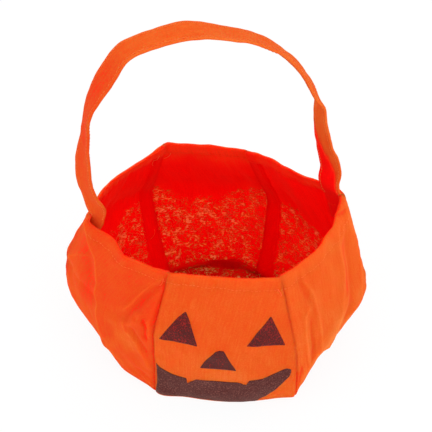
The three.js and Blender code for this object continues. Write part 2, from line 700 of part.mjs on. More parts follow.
// The strap from fold to fold, with its arch and its twist
function handleStrap() {
  const arch = STRAP_ARCH.map(([share, up]) => {
    const point = LEFT_FOLD.clone().lerp(RIGHT_FOLD, share);
    return point.setZ(point.z + up);
  });
  const path = new THREE.CatmullRomCurve3([LEFT_FOLD, ...arch, RIGHT_FOLD], false, 'centripetal');
  const length = path.getLength();
  const near = endDistances();
  const far = near.map((distance) => length - distance).reverse();
  const [start, end] = [near[near.length - 1], far[0]];
  const between = evenSteps(start, end, Math.round((end - start) / STRAP_STEP)).slice(1, -1);
  const stations = [...near, ...between, ...far].map((distance) => {
    const share = THREE.MathUtils.clamp(distance / length, 0, 1);
    const tangent = path.getTangentAt(share);
    const centre = path.getPointAt(share).addScaledVector(tangent, distance - share * length);
    const twist = easedValue(STRAP_TWIST, share) * RADIANS;
    const sideways = tangent.clone().cross(FRONTWARD);
    const across = FRONTWARD.clone().multiplyScalar(Math.cos(twist)).addScaledVector(sideways, Math.sin(twist));
    const face = tangent.clone().cross(across);
    return { centre, across, face, width: widthAboveFold(Math.min(distance, length - distance)) };
  });
  return bandGeometry(stations);
}

// One sewn-down end of the strap: it follows the inside of the panel, and narrows to the fold above it
function strapTail({ panel, share, outward }, fold) {
  const width = RIM_CORNERS[panel].distanceTo(RIM_CORNERS[(panel + 1) % CORNERS]);
  const sideways = new THREE.Vector3(-outward.y, outward.x, 0);
  const offsets = evenSteps(-STRAP_WIDTH / 2, STRAP_WIDTH / 2, 6);
  const faces = [2 * CLOTH + TAIL_GAP, 2 * CLOTH + TAIL_GAP + STRAP_THICKNESS];
  const [outer, inner] = faces.map((depth) => evenSteps(TAIL_LENGTH, FOLD_FLARE_HEIGHT / 2, 4).map((drop) => (
    offsets.map((offset) => panelPoint(panel, share + offset / width, 1 - drop * LEVEL_PER_MM_ABOVE, depth)))));
  const neckScale = FOLD_NECK_WIDTH / STRAP_WIDTH;
  const top = fold.clone().setZ(fold.z - FOLD_TIP_RADIUS - SEWN_GAP);
  [outer, inner].forEach((grid, face) => grid.push(offsets.map((offset) => (
    top.clone().addScaledVector(sideways, offset * neckScale)
      .addScaledVector(outward, (0.5 - face) * STRAP_THICKNESS)))));
  return shellGeometry(outer, inner);
}

function between([startX, startY], [endX, endY], share) {
  return [mix(startX, endX, share), mix(startY, endY, share)];
}

// A print's lines, with more of them set evenly between
function filledIn(lines) {
  const filled = [lines[0]];
  for (let index = 1; index < lines.length; index += 1) {
    const [before, after] = [lines[index - 1], lines[index]];
    const gaps = before.map(([x, y], side) => Math.hypot(after[side][0] - x, after[side][1] - y));
    const shares = evenSteps(0, 1, Math.ceil(Math.max(...gaps) / PRINT_STEP)).slice(1);
    filled.push(...shares.map((share) => before.map((end, side) => between(end, after[side], share))));
  }
  return filled;
}

// A thin layer of ink on the front panel
function facePrint(lines) {
  const columns = filledIn(lines);
  const [outer, inner] = [-PRINT_GAP - PRINT_THICKNESS, -PRINT_GAP].map((depth) => (
    evenSteps(0, 1, PRINT_ROWS).map((row) => (
      columns.map(([lower, upper]) => frontPanelPoint(between(lower, upper, row), depth))))));
  return shellGeometry(outer, inner);
}

// A point on the front panel, by millimetres across from its middle line and up from the base
function frontPanelPoint([across, up], depth) {
  const level = levelAt(up);
  return panelPoint(FRONT_PANEL, 0.5 + across / panelWidth(FRONT_PANEL, level), level, depth);
}

const bag = new THREE.Group();

function addPiece(name, geometry, material) {
  const mesh = new THREE.Mesh(geometry, material);
  mesh.name = name;
  bag.add(mesh);
}

PANELS.forEach(({ name }, panel) => addPiece(name, wallPanel(panel), CLOTH_ORANGE));
addPiece('base_panel', basePanel(), BASE_ORANGE);
addPiece('handle_strap', handleStrap(), STRAP_ORANGE);
addPiece('strap_tail_left', strapTail(LEFT_SEAT, LEFT_FOLD), STRAP_ORANGE);
addPiece('strap_tail_right', strapTail(RIGHT_SEAT, RIGHT_FOLD), STRAP_ORANGE);
PRINTS.forEach((print) => addPiece(print.name, facePrint(print.lines), PRINT_MAROON));

export default bag;
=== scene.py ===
"""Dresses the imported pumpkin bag: brushed cloth walls with their folds, a napped inside, a stitched hem,
one soft strap, and the printed face. Lengths are in millimetres until a mesh is made."""

import logging
import math
from collections.abc import Callable
from dataclasses import dataclass, field
from enum import Enum

import bpy
import numpy as np
from mathutils import Matrix


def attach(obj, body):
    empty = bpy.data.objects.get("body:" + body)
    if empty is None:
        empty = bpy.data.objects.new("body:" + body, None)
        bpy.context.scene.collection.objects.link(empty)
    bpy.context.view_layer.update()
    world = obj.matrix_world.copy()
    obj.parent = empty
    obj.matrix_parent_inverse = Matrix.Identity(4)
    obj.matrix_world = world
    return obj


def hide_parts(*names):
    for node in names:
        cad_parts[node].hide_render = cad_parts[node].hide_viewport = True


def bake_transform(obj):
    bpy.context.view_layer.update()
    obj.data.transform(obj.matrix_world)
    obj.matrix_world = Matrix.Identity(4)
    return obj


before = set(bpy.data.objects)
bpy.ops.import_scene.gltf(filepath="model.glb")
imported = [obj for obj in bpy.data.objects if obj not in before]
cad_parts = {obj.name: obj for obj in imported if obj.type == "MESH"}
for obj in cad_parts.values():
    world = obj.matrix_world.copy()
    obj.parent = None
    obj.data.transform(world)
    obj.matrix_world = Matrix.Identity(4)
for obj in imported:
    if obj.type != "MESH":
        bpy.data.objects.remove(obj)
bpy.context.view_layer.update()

MM = 0.001
MAP_SCALE = 0.01
SEED = 31
WAVE_COUNT = 22
CORNERS = 6
WAIST = 0.5
CLOTH = 1.5
HEM_DEPTH = 12.0
HEM_LAYERS = 3.0
ALLOWANCE = 10.0
FIXED_EDGE = 4.0
LEFT_SEAT_PANEL = 5
RIGHT_SEAT_PANEL = 2
WHITE = (1.0, 1.0, 1.0, 1.0)

Array = np.ndarray
Pair = tuple[float, float]
Line = tuple[Pair, ...]
Steps = tuple[float, ...]
Dye = tuple[int, int, int]
Dyes = tuple[tuple[float, Dye], ...]
WidthAt = Callable[[Array], Array]
Mesh = bpy.types.Mesh
Material = bpy.types.Material
Piece = bpy.types.Object
Socket = bpy.types.NodeSocket
Term = Socket | float
log = logging.getLogger("pumpkin_bag")


def unit(vectors: Array) -> Array:
    """Vectors of length one along the last axis."""
    return vectors / np.linalg.norm(vectors, axis=-1, keepdims=True)


def smoothstep(low: float, high: float, value: Array) -> Array:
    """A smooth step from 0 at low to 1 at high."""
    share = np.clip((value - low) / (high - low), 0.0, 1.0)
    return share * share * (3.0 - 2.0 * share)


def read_pairs(pairs: Line, place: Array) -> Array:
    """The value at each place, read along a list of (place, value) pairs."""
    places, values = zip(*pairs)
    return np.interp(place, places, values)


def read_eased(pairs: Line, place: Array) -> Array:
    """The value at each place, eased between (place, value) pairs so that it has no corners.

    Args:
        pairs: The (place, value) pairs.
        place: Where to read.

    Returns:
        One value for each place.
    """
    places, values = (np.array(column) for column in zip(*pairs))
    after = np.clip(np.searchsorted(places, place), 1, len(places) - 1)
    local = smoothstep(0.0, 1.0, (place - places[after - 1]) / (places[after] - places[after - 1]))
    return values[after - 1] + (values[after] - values[after - 1]) * local


def read_rows(at: Array, places: Array, rows: Array) -> Array:
    """Rows of numbers at each place, read between the rows that stand at places."""
    return np.stack([np.interp(at, places, column) for column in rows.T], axis=-1)


def lengths_along(points: Array) -> Array:
    """Millimetres along a line, from its first point to each of its points."""
    return np.concatenate([[0.0], np.cumsum(np.linalg.norm(np.diff(points, axis=0), axis=1))])


def between(low: float, high: float, start: Array, end: Array, at: Array) -> Array:
    """Points on the way from start, reached at low, to end, reached at high."""
    return (high - at) / (high - low) * start + (at - low) / (high - low) * end


def round_off(radius: Array, away: Array) -> Array:
    """How far a rounded edge draws back at each distance from it."""
    return radius - np.sqrt(np.maximum(0.0, radius**2 - np.maximum(0.0, radius - away) ** 2))


class Waves(Enum):
    """Random waves over flat cloth: a seed, the shortest and longest wave, and how far heights are squeezed."""

    SLUMP = (3, 34, 80, 0.8)
    CREASE = (13, 9, 22, 0.6)
    HEM_PULL = (23, 5, 12, 0.25)
    ALLOWANCE_EDGE = (40, 14, 40, 1.0)
    SEAM_PUCKER = (60, 6, 15, 1.0)
    LIT_NAP_EDGE = (80, 8, 24, 1.0)
    TRAY_EDGE = (90, 16, 60, 1.0)
    FLOOR_CREASE = (91, 18, 60, 1.0)
    STRAP_EDGE = (100, 20, 60, 1.0)
    STRAP_CREASE = (101, 9, 26, 1.0)

    def at(self, across: Array, up: Array, number: int = 0) -> Array:
        """The waves' height, about -1.5 to 1.5.

        Args:
            across: Millimetres across the cloth.
            up: Millimetres up the cloth.
            number: The number of the panel or seam, so that each has waves of its own.

        Returns:
            One height for each place.
        """
        seed, shortest, longest, squeeze = self.value
        draw = np.random.default_rng(SEED + seed + number)
        length = draw.uniform(shortest, longest, WAVE_COUNT)
        turn, phase = draw.uniform(0.0, 2.0 * math.pi, (2, WAVE_COUNT))
        up = up * squeeze
        height = np.zeros(np.broadcast(across, up).shape)
        for wave, angle, start in zip(length, turn, phase):
            height += np.sin(2.0 * math.pi * (across * math.cos(angle) + up * math.sin(angle)) / wave + start)
        return height / math.sqrt(WAVE_COUNT / 2.0)


@dataclass(frozen=True)
class Run:
    """One straight run of a ring: its middle, width, turn in degrees, lift and rise."""

    x: float
    y: float
    width: float
    turn: float
    lift: float = 0.0
    rise: float = 0.0

    def ends(self, height: float) -> tuple[Array, Array]:
        """The run's left and right ends.

        Args:
            height: The ring's own height.

        Returns:
            Two points.
        """
        angle = math.radians(self.turn)
        along = np.array([math.cos(angle), math.sin(angle), 0.0]) * self.width / 2.0
        along[2] = self.rise / 2.0
        middle = np.array([self.x, self.y, height + self.lift])
        return middle - along, middle + along


@dataclass(frozen=True)
class Ring:
    """Six corners of the wall at one height, given by three straight runs."""

    height: float
    front: Run
    sides: Run
    back: Run

    def corners(self) -> Array:
        """The corners, anticlockwise seen from above, starting at the front left."""
        front, sides, back = (run.ends(self.height) for run in (self.front, self.sides, self.back))
        return np.array([front[0], front[1], sides[1], back[1], back[0], sides[0]])


@dataclass(frozen=True)
class PanelCut:
    """How far a panel bows out at the rim, the waist and the base."""

    rim_bow: float
    waist_bow: float
    base_bow: float
    fullest_at: float = 0.5


@dataclass(frozen=True)
class Seat:
    """Where an end of the strap is sewn in, and how far it pulls the rim out."""

    panel: int
    pull_out: float
    from_seam: float = 12.0
    reach: float = 24.0
    fade_down: float = 40.0
    lift: float = 4.0


@dataclass(frozen=True)
class Swell:
    """A broad swelling of the whole wall, as soft cloth slumps.

    Its place counts panels round the wall, so that 1.5 is the middle of the panel after the front one.
    Its half width is counted in panels too, and its other sizes are millimetres.
    """

    place: float
    up: float
    out: float
    half_width: float
    half_height: float


@dataclass
class BagForm:
    """The wall's form: the CAD source's rings, seams, bows, bellies and pulls, with the cloth's own slump."""

    rim: Ring = Ring(145.0, Run(4, -53.5, 84, -3.4), Run(0, 14, 202, 2.5), Run(-7, 87, 75, -9))
    waist: Ring = Ring(
        76.0, Run(4.5, -74, 115, -2.9, 6, -25), Run(1.5, 9.5, 267, -3.3, -5, -26), Run(-3, 103.5, 116, -5.4)
    )
    base: Ring = Ring(0.0, Run(4, -69, 116, -4.9), Run(1, -1.5, 174, -1), Run(-1, 66.5, 86, -2))
    cuts: tuple[PanelCut, ...] = (
        PanelCut(6, 6, 10, 0.6), PanelCut(8, 6, 4), PanelCut(3, 10, 9),
        PanelCut(3.5, 7, 9), PanelCut(9, 10, 9, 0.62), PanelCut(7, 8, 15, 0.6),
    )
    bellies_below: tuple[float, ...] = (2, 6, 9, 7, 7, 15.5)
    bellies_above: tuple[float, ...] = (0, 0, 1, -2, -2, 1)
    sag: float = 1.0
    rounding: float = 0.08
    seats: tuple[Seat, ...] = (Seat(LEFT_SEAT_PANEL, 4.0), Seat(RIGHT_SEAT_PANEL, 7.0))
    fold_above_rim: float = 7.6
    swells: tuple[Swell, ...] = (
        Swell(5.0, 56, 2.0, 0.2, 24), Swell(5.45, 17, -5.5, 0.17, 15), Swell(6.05, -4, 4.5, 0.11, 20),
        Swell(1.85, 68, 3.2, 0.24, 20), Swell(1.25, 26, -2.6, 0.13, 13), Swell(1.0, 8, 2.2, 0.09, 12),
        Swell(1.8, 138, 2.6, 0.38, 30), Swell(2.75, 152, 1.6, 0.22, 22), Swell(5.58, 159, 3.4, 0.11, 20),
        Swell(5.34, 159, -1.0, 0.07, 20),
    )
    rim_line: Line = (
        (0.0, -4.5), (0.15, -2.6), (0.5, -1.4), (0.8, -2.6), (1.0, -5.5), (1.3, -4.6), (1.6, -3.6), (1.85, -2.2),
        (2.0, 0.0), (2.42, 0.0), (2.6, 2.6), (2.72, 5.0), (2.88, 4.4), (3.0, 2.6), (3.2, 2.4), (3.45, 3.0),
        (3.62, 1.2), (3.8, 0.8), (3.95, 2.6), (4.05, 2.2), (4.18, 0.0), (5.3, 0.0), (5.42, -1.2), (5.52, -4.0),
        (5.7, -3.8), (5.85, -3.6), (6.0, -4.5),
    )
    rim_reach: float = 46.0
    pulls: list[tuple[Array, Array, Seat]] = field(default_factory=list)

    def __post_init__(self) -> None:
        """Works out the corners, the cloth's lengths and the two pulls."""
        self.rim_corners = self.rim.corners()
        self.waist_corners = self.waist.corners()
        self.base_corners = self.base.corners()
        self.upper_length = float(np.linalg.norm(self.rim_corners - self.waist_corners, axis=1).mean())
        self.lower_length = float(np.linalg.norm(self.base_corners - self.waist_corners, axis=1).mean())
        self.length = self.upper_length + self.lower_length
        for seat in self.seats:
            share, top = np.array([self.seat_share(seat)]), np.ones(1)
            rim = self.resting(seat.panel, share, top, np.zeros(1))[0]
            self.pulls.append((rim, self.outward(seat.panel, top)[0], seat))

    def seat_share(self, seat: Seat) -> float:
        """The share of the panel's rim at which a strap end is sewn in."""
        start, end = self.rim_corners[seat.panel], self.rim_corners[(seat.panel + 1) % CORNERS]
        return seat.from_seam / float(np.linalg.norm(end - start))

    def level(self, up: Array) -> Array:
        """The level, 0 at the base and 1 at the rim, at millimetres up the cloth."""
        above = WAIST + (1.0 - WAIST) * (up - self.lower_length) / self.upper_length
        return np.where(up < self.lower_length, WAIST * up / self.lower_length, above)

    def up_cloth(self, level: Array) -> Array:
        """Millimetres up the cloth at each level."""
        above = self.lower_length + (level - WAIST) / (1.0 - WAIST) * self.upper_length
        return np.where(level < WAIST, level / WAIST * self.lower_length, above)

    def swelling(self, place: Array, up: Array) -> Array:
        """How far the wall swells out at each place round it and height up its cloth.

        Args:
            place: Places round the wall, counted in panels.
            up: Millimetres up the cloth.

        Returns:
            Millimetres outwards.
        """
        out = np.zeros(np.broadcast(place, up).shape)
        for swell in self.swells:
            away = (place - swell.place + CORNERS / 2) % CORNERS - CORNERS / 2
            out += swell.out * np.exp(-((away / swell.half_width) ** 2) - ((up - swell.up) / swell.half_height) ** 2)
        return out

    def straight_seam(self, corner: int, level: Array) -> Array:
        """A seam before its belly is added.

        Args:
            corner: The seam's number.
            level: Levels on it.

        Returns:
            One point for each level.
        """
        base, waist, rim = (ring[corner] for ring in (self.base_corners, self.waist_corners, self.rim_corners))
        below = base + (waist - base) * (1.0 - self.rounding / WAIST)
        above = waist + (rim - waist) * (self.rounding / (1.0 - WAIST))
        start, end = WAIST - self.rounding, WAIST + self.rounding
        t = level[:, None]
        b = np.clip((t - start) / (end - start), 0.0, 1.0)
        bend = below * (1 - b) ** 2 + 2 * waist * b * (1 - b) + above * b * b
        low = base + (below - base) * (t / start)
        high = above + (rim - above) * ((t - end) / (1 - end))
        return np.where(t < start, low, np.where(t > end, high, bend))

    def outward(self, panel: int, level: Array) -> Array:
        """Level unit vectors out of a panel.

        Args:
            panel: The panel's number.
            level: Levels on it.

        Returns:
            One vector for each level.
        """
        along = self.straight_seam((panel + 1) % CORNERS, level) - self.straight_seam(panel, level)
        along[:, 2] = 0.0
        along = unit(along)
        return np.stack([along[:, 1], -along[:, 0], np.zeros(len(along))], axis=1)

    def seam(self, corner: int, level: Array, depth: Array) -> Array:
        """A seam's points, moved inwards by depth.

        Args:
            corner: The seam's number.
            level: Levels on it.
            depth: Millimetres inwards, one for each level.

        Returns:
            One point for each level.
        """
        before, after = self.outward((corner - 1) % CORNERS, level), self.outward(corner, level)
        inward = -(before + after) / (1.0 + (before * after).sum(1, keepdims=True))
        lower = level < WAIST
        share = np.where(lower, level / WAIST, (level - WAIST) / (1.0 - WAIST))
        place = np.where(lower, share * (1 + self.sag) / (1 + self.sag * share), share)
        belly = np.where(lower, self.bellies_below[corner], self.bellies_above[corner]) * 4 * place * (1 - place)
        return self.straight_seam(corner, level) + inward * (depth - belly)[:, None]

    def bow(self, panel: int, share: Array, level: Array) -> Array:
        """How far a panel bows out at each share of its width and level.

        Args:
            panel: The panel's number.
            share: Shares of its width.
            level: Levels on it.

        Returns:
            Millimetres outwards.
        """
        cut = self.cuts[panel]
        upper, lower = np.clip((level - WAIST) / (1.0 - WAIST), 0, 1), np.clip(level / WAIST, 0, 1)
        above = cut.waist_bow + (cut.rim_bow - cut.waist_bow) * upper
        below = cut.base_bow + (cut.waist_bow - cut.base_bow) * lower
        fullest = 0.5 + (cut.fullest_at - 0.5) * upper
        evened = np.clip(share, 0, 1) ** (math.log(0.5) / np.log(fullest))
        return np.where(level > WAIST, above, below) * 4 * evened * (1 - evened)

    def resting(self, panel: int, share: Array, level: Array, depth: Array) -> Array:
        """Points in a panel's cloth before the strap pulls on it.

        Args:
            panel: The panel's number.
            share: Shares of its width from its left seam, seen from outside.
            level: Levels, 0 at the base and 1 at the rim.
            depth: Millimetres inwards from its outer face.

        Returns:
            One point for each share.
        """
        place, up = panel + share, self.up_cloth(level)
        depth = depth - self.swelling(place, up)
        raised = read_eased(self.rim_line, place) * smoothstep(self.length - self.rim_reach, self.length, up)
        level = self.level(up + raised)
        start = self.seam(panel, level, depth)
        end = self.seam((panel + 1) % CORNERS, level, depth)
        bowed = self.outward(panel, level) * self.bow(panel, share, level)[:, None]
        return start + (end - start) * share[:, None] + bowed

    def point(self, panel: int, share: Array, level: Array, depth: Array) -> Array:
        """Points in a panel's cloth, of any shape of array, with the strap's pull.

        Args:
            panel: The panel's number.
            share: Shares of its width from its left seam, seen from outside.
            level: Levels, 0 at the base and 1 at the rim.
            depth: Millimetres inwards from its outer face.

        Returns:
            Points, with one more axis than the shares.
        """
        share, level, depth = np.broadcast_arrays(*(np.asarray(v, float) for v in (share, level, depth)))
        points = self.resting(panel, share.ravel(), level.ravel(), depth.ravel())
        moved = points.copy()
        for rim, outward, seat in self.pulls:
            across = np.hypot(points[:, 0] - rim[0], points[:, 1] - rim[1]) / seat.reach
            down = np.maximum(0.0, rim[2] - points[:, 2]) / seat.fade_down
            strength = np.exp(-(across**2 + down**2))[:, None]
            moved += strength * (outward * seat.pull_out + np.array([0.0, 0.0, seat.lift]))
        return moved.reshape(share.shape + (3,))

    def width(self, panel: int, level: Array) -> Array:
        """A panel's width between its seams at each level."""
        left, right = (self.seam(one % CORNERS, level, np.zeros(len(level))) for one in (panel, panel + 1))
        return np.linalg.norm(right - left, axis=1)

    def fold_point(self, seat: Seat, depth: float) -> Array:
        """Where the strap folds over above the rim at a seat.

        Args:
            seat: Where the strap's end is sewn in.
            depth: Its depth in the wall.

        Returns:
            The point.
        """
        share = self.seat_share(seat)
        point = self.point(seat.panel, share, 1.0, depth)
        point[2] = self.rim.height + seat.lift + self.fold_above_rim
        return point


class Side(Enum):
    """The two sides of the wall."""

    OUTSIDE = "outside"
    INSIDE = "inside"


class Profile(Enum):
    """The shape of a fold across its line."""

    ROUND = "round"
    PRESSED = "pressed"


@dataclass(frozen=True)
class Fold:
    """A fold in a panel, drawn downwards by (share of the width, millimetres up the cloth).

    Height is in millimetres outwards, and below zero for a valley. Left and right are its reaches to
    each side. Tone is painted light along the line: a painted highlight above zero, painted shade below it.
    """

    line: Line
    height: float
    left: float
    right: float
    profile: Profile = Profile.ROUND
    tone: float = 0.0
    tone_reach: float = 1.6
    fade: float = 12.0

    def measure(self, across: Array, up: Array, width_at: WidthAt) -> tuple[Array, Array, Array]:
        """How far each place is from the fold's line, on which side, and how strong the fold is there.

        Args:
            across: Millimetres from the panel's left seam.
            up: Millimetres up the cloth.
            width_at: Gives the panel's width at a height up the cloth.

        Returns:
            The distance, the side (above zero to the right) and the strength along the line.
        """
        nodes = [(share * float(width_at(height)), height) for share, height in self.line]
        best = np.full(across.shape, 1e9)
        side, place = np.zeros(across.shape), np.zeros(across.shape)
        travelled = 0.0
        for (x0, y0), (x1, y1) in zip(nodes, nodes[1:]):
            dx, dy = x1 - x0, y1 - y0
            length = math.hypot(dx, dy)
            t = np.clip(((across - x0) * dx + (up - y0) * dy) / length**2, 0.0, 1.0)
            distance = np.hypot(across - x0 - dx * t, up - y0 - dy * t)
            nearer = distance < best
            best = np.where(nearer, distance, best)
            side = np.where(nearer, dx * (up - y0) - dy * (across - x0), side)
            place = np.where(nearer, travelled + t * length, place)
            travelled += length
        strength = np.ones(across.shape)
        if self.fade > 0:
            fade = min(self.fade, travelled / 2)
            strength = smoothstep(-1.0, fade, place) * smoothstep(-1.0, fade, travelled - place)
        return best, side, strength

    def shape(self, across: Array, up: Array, width_at: WidthAt) -> tuple[Array, Array]:
        """The fold's relief and its painted light and shade along it, at each place in the cloth.

        Args:
            across: Millimetres from the panel's left seam.
            up: Millimetres up the cloth.
            width_at: Gives the panel's width at a height up the cloth.

        Returns:
            Millimetres outwards, and the painted light, below zero for painted shade.
        """
        distance, side, strength = self.measure(across, up, width_at)
        over = distance / np.where(side > 0, self.right, self.left)
        drop = np.exp(-(over**2)) if self.profile is Profile.ROUND else np.exp(-over * 1.6)
        # Painted highlight along a ridge, painted shade along a valley.
        tone = self.tone * strength * np.exp(-((distance / self.tone_reach) ** 2))
        return self.height * strength * drop, tone


@dataclass(frozen=True)
class Seam:
    """A sewn seam: its groove's depth up the cloth and reach on both panels, its pucker and its shade."""

    depths: Line = ((0.0, 1.0), (150.0, 1.1), (159.0, 0.5))
    before: float = 1.8
    after: float = 1.8
    pucker: float = 0.16
    pucker_reach: float = 4.0
    shade: float = 0.16
    shade_reach: float = 0.9


def solid_mesh(name: str, points: Array, quads: Array) -> Mesh:
    """A smooth mesh of quads, from millimetres.

    Args:
        name: The mesh's name.
        points: One row for each vertex, in millimetres.
        quads: One row of four vertex numbers for each face.

    Returns:
        The mesh, in metres.
    """
    mesh = bpy.data.meshes.new(name)
    mesh.vertices.add(len(points))
    mesh.vertices.foreach_set("co", (points * MM).astype(np.float32).ravel())
    mesh.loops.add(quads.size)
    mesh.loops.foreach_set("vertex_index", quads.astype(np.int32).ravel())
    mesh.polygons.add(len(quads))
    mesh.polygons.foreach_set("loop_start", np.arange(0, quads.size, 4, dtype=np.int32))
    mesh.update(calc_edges=True)
    mesh.validate()
    mesh.polygons.foreach_set("use_smooth", np.ones(len(mesh.polygons), bool))
    return mesh


def add_object(name: str, data: bpy.types.ID) -> Piece:
    """Links a mesh, lamp or camera as an object at the origin.

    Args:
        name: Its name.
        data: What it holds.

    Returns:
        The object.
    """
    made = bpy.data.objects.new(name, data)
    bpy.context.scene.collection.objects.link(made)
    return made


def dress(mesh: Mesh, material: Material, slot: str, *nodes: str) -> Piece:
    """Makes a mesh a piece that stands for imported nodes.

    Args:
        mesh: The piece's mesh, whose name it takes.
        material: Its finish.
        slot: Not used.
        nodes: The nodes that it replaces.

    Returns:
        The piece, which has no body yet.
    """
    mesh.materials.append(material)
    made = add_object(mesh.name, mesh)
    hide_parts(*nodes)
    return made


def paint(mesh: Mesh, name: str, values: Array) -> None:
    """Keeps one number for each vertex on the mesh, for its material."""
    mesh.attributes.new(name, "FLOAT", "POINT").data.foreach_set("value", values.astype(np.float32).ravel())


def lay_map(mesh: Mesh, across: Array, up: Array) -> None:
    """Gives the mesh a map of its flat cloth, in tenths of a metre.

    Args:
        mesh: The mesh.
        across: Millimetres across the cloth, one for each vertex.
        up: Millimetres up the cloth, one for each vertex.
    """
    layer = mesh.uv_layers.new(name="Cloth")
    corners = np.zeros(len(mesh.loops), np.int32)
    mesh.loops.foreach_get("vertex_index", corners)
    flat = np.stack([across.ravel(), up.ravel()], axis=1)[corners] * MAP_SCALE
    layer.data.foreach_set("uv", flat.astype(np.float32).ravel())


def quads_of(*corners: Array) -> Array:
    """One row of vertex numbers for each face, from an array for each of its four corners."""
    return np.stack([corner.ravel() for corner in corners], 1)


def shell_quads(rows: int, columns: int) -> Array:
    """Faces that join an outer grid and the inner grid after it into one closed shell.

    Args:
        rows: Rows in each grid, from the bottom up.
        columns: Columns in each grid, from left to right seen from outside.

    Returns:
        One row of four vertex numbers for each face.
    """
    outer = np.arange(rows * columns).reshape(rows, columns)
    inner = outer + rows * columns
    return np.concatenate([
        quads_of(outer[:-1, :-1], outer[:-1, 1:], outer[1:, 1:], outer[1:, :-1]),
        quads_of(inner[:-1, :-1], inner[1:, :-1], inner[1:, 1:], inner[:-1, 1:]),
        quads_of(inner[:-1, 0], outer[:-1, 0], outer[1:, 0], inner[1:, 0]),
        quads_of(outer[:-1, -1], inner[:-1, -1], inner[1:, -1], outer[1:, -1]),
        quads_of(inner[0, :-1], inner[0, 1:], outer[0, 1:], outer[0, :-1]),
        quads_of(outer[-1, :-1], outer[-1, 1:], inner[-1, 1:], inner[-1, :-1]),
    ])


def tube_quads(stations: int, sides: int) -> Array:
    """Faces of a tube of closed sections, without its two ends."""
    low = np.arange((stations - 1) * sides).reshape(stations - 1, sides)
    return quads_of(low, np.roll(low, -1, axis=1), np.roll(low, -1, axis=1) + sides, low + sides)


class Wiring:
    """Builds a node tree with short calls."""

    def __init__(self, tree: bpy.types.NodeTree) -> None:
        """Keeps the tree and empties it."""
        self.tree = tree
        tree.nodes.clear()

    def add(self, kind: str, inputs: dict | None = None, **settings: object) -> bpy.types.Node:
        """Adds a node.

        Args:
            kind: The node's type.
            inputs: Socket names or numbers, with a value or a socket to link for each.
            settings: Properties of the node.

        Returns:
            The node.
        """
        node = self.tree.nodes.new(kind)
        for key, value in settings.items():
            setattr(node, key, value)
        for key, value in (inputs or {}).items():
            if isinstance(value, Socket):
                self.tree.links.new(value, node.inputs[key])
            else:
                node.inputs[key].default_value = value
        return node

    def out(self, kind: str, inputs: dict | None = None, **settings: object) -> Socket:
        """Adds a node and gives its first output."""
        return self.add(kind, inputs, **settings).outputs[0]

    def end(self, kind: str, inputs: dict) -> None:
        """Ends a material's tree with its shader."""
        self.add("ShaderNodeOutputMaterial", {"Surface": self.out(kind, inputs)})

    def place(self) -> Socket:
        """The place on the piece, in metres."""
        return self.add("ShaderNodeTexCoord").outputs["Object"]

    def painted(self, name: str) -> Socket:
        """A number that the mesh's vertices carry."""
        return self.add("ShaderNodeAttribute", attribute_name=name).outputs["Fac"]

    def sum(self, *terms: Term) -> Socket:
        """Adds sockets or numbers together.

        Args:
            terms: Sockets or numbers.

        Returns:
            Their sum.
        """
        total = terms[0]
        for term in terms[1:]:
            total = self.out("ShaderNodeMath", {0: total, 1: term}, operation="ADD")
        return total

    def product(self, first: Term, second: Term) -> Socket:
        """Multiplies two sockets or numbers."""
        return self.out("ShaderNodeMath", {0: first, 1: second}, operation="MULTIPLY")

    def weighted(self, *pairs: tuple[Socket, float]) -> Socket:
        """Adds sockets together, each times its own weight."""
        return self.sum(*(self.product(socket, weight) for socket, weight in pairs))

    def stretched(self, vector: Socket, across: float, up: float) -> Socket:
        """A place on flat cloth, scaled across and up."""
        return self.out("ShaderNodeVectorMath", {0: vector, 1: (across, up, 1.0)}, operation="MULTIPLY")

    def ramp(self, value: Socket, dyes: Dyes) -> Socket:
        """A colour ramp through the given dyes.

        Args:
            value: What chooses the colour.
            dyes: Its places, with a screen colour at each.

        Returns:
            The colour.
        """
        node = self.add("ShaderNodeValToRGB", {0: value})
        elements = node.color_ramp.elements
        while len(elements) < len(dyes):
            elements.new(0.5)
        for element, (place, dye) in zip(elements, dyes):
            element.position = place
            element.color = tint(*dye)
        return node.outputs["Color"]

    def noise(self, place: Socket, scale: float, detail: float) -> Socket:
        """Noise centred on zero, from about -0.5 to 0.5."""
        made = self.out("ShaderNodeTexNoise", {"Vector": place, "Scale": scale, "Detail": detail})
        return self.out("ShaderNodeMath", {0: made, 1: 0.5}, operation="SUBTRACT")


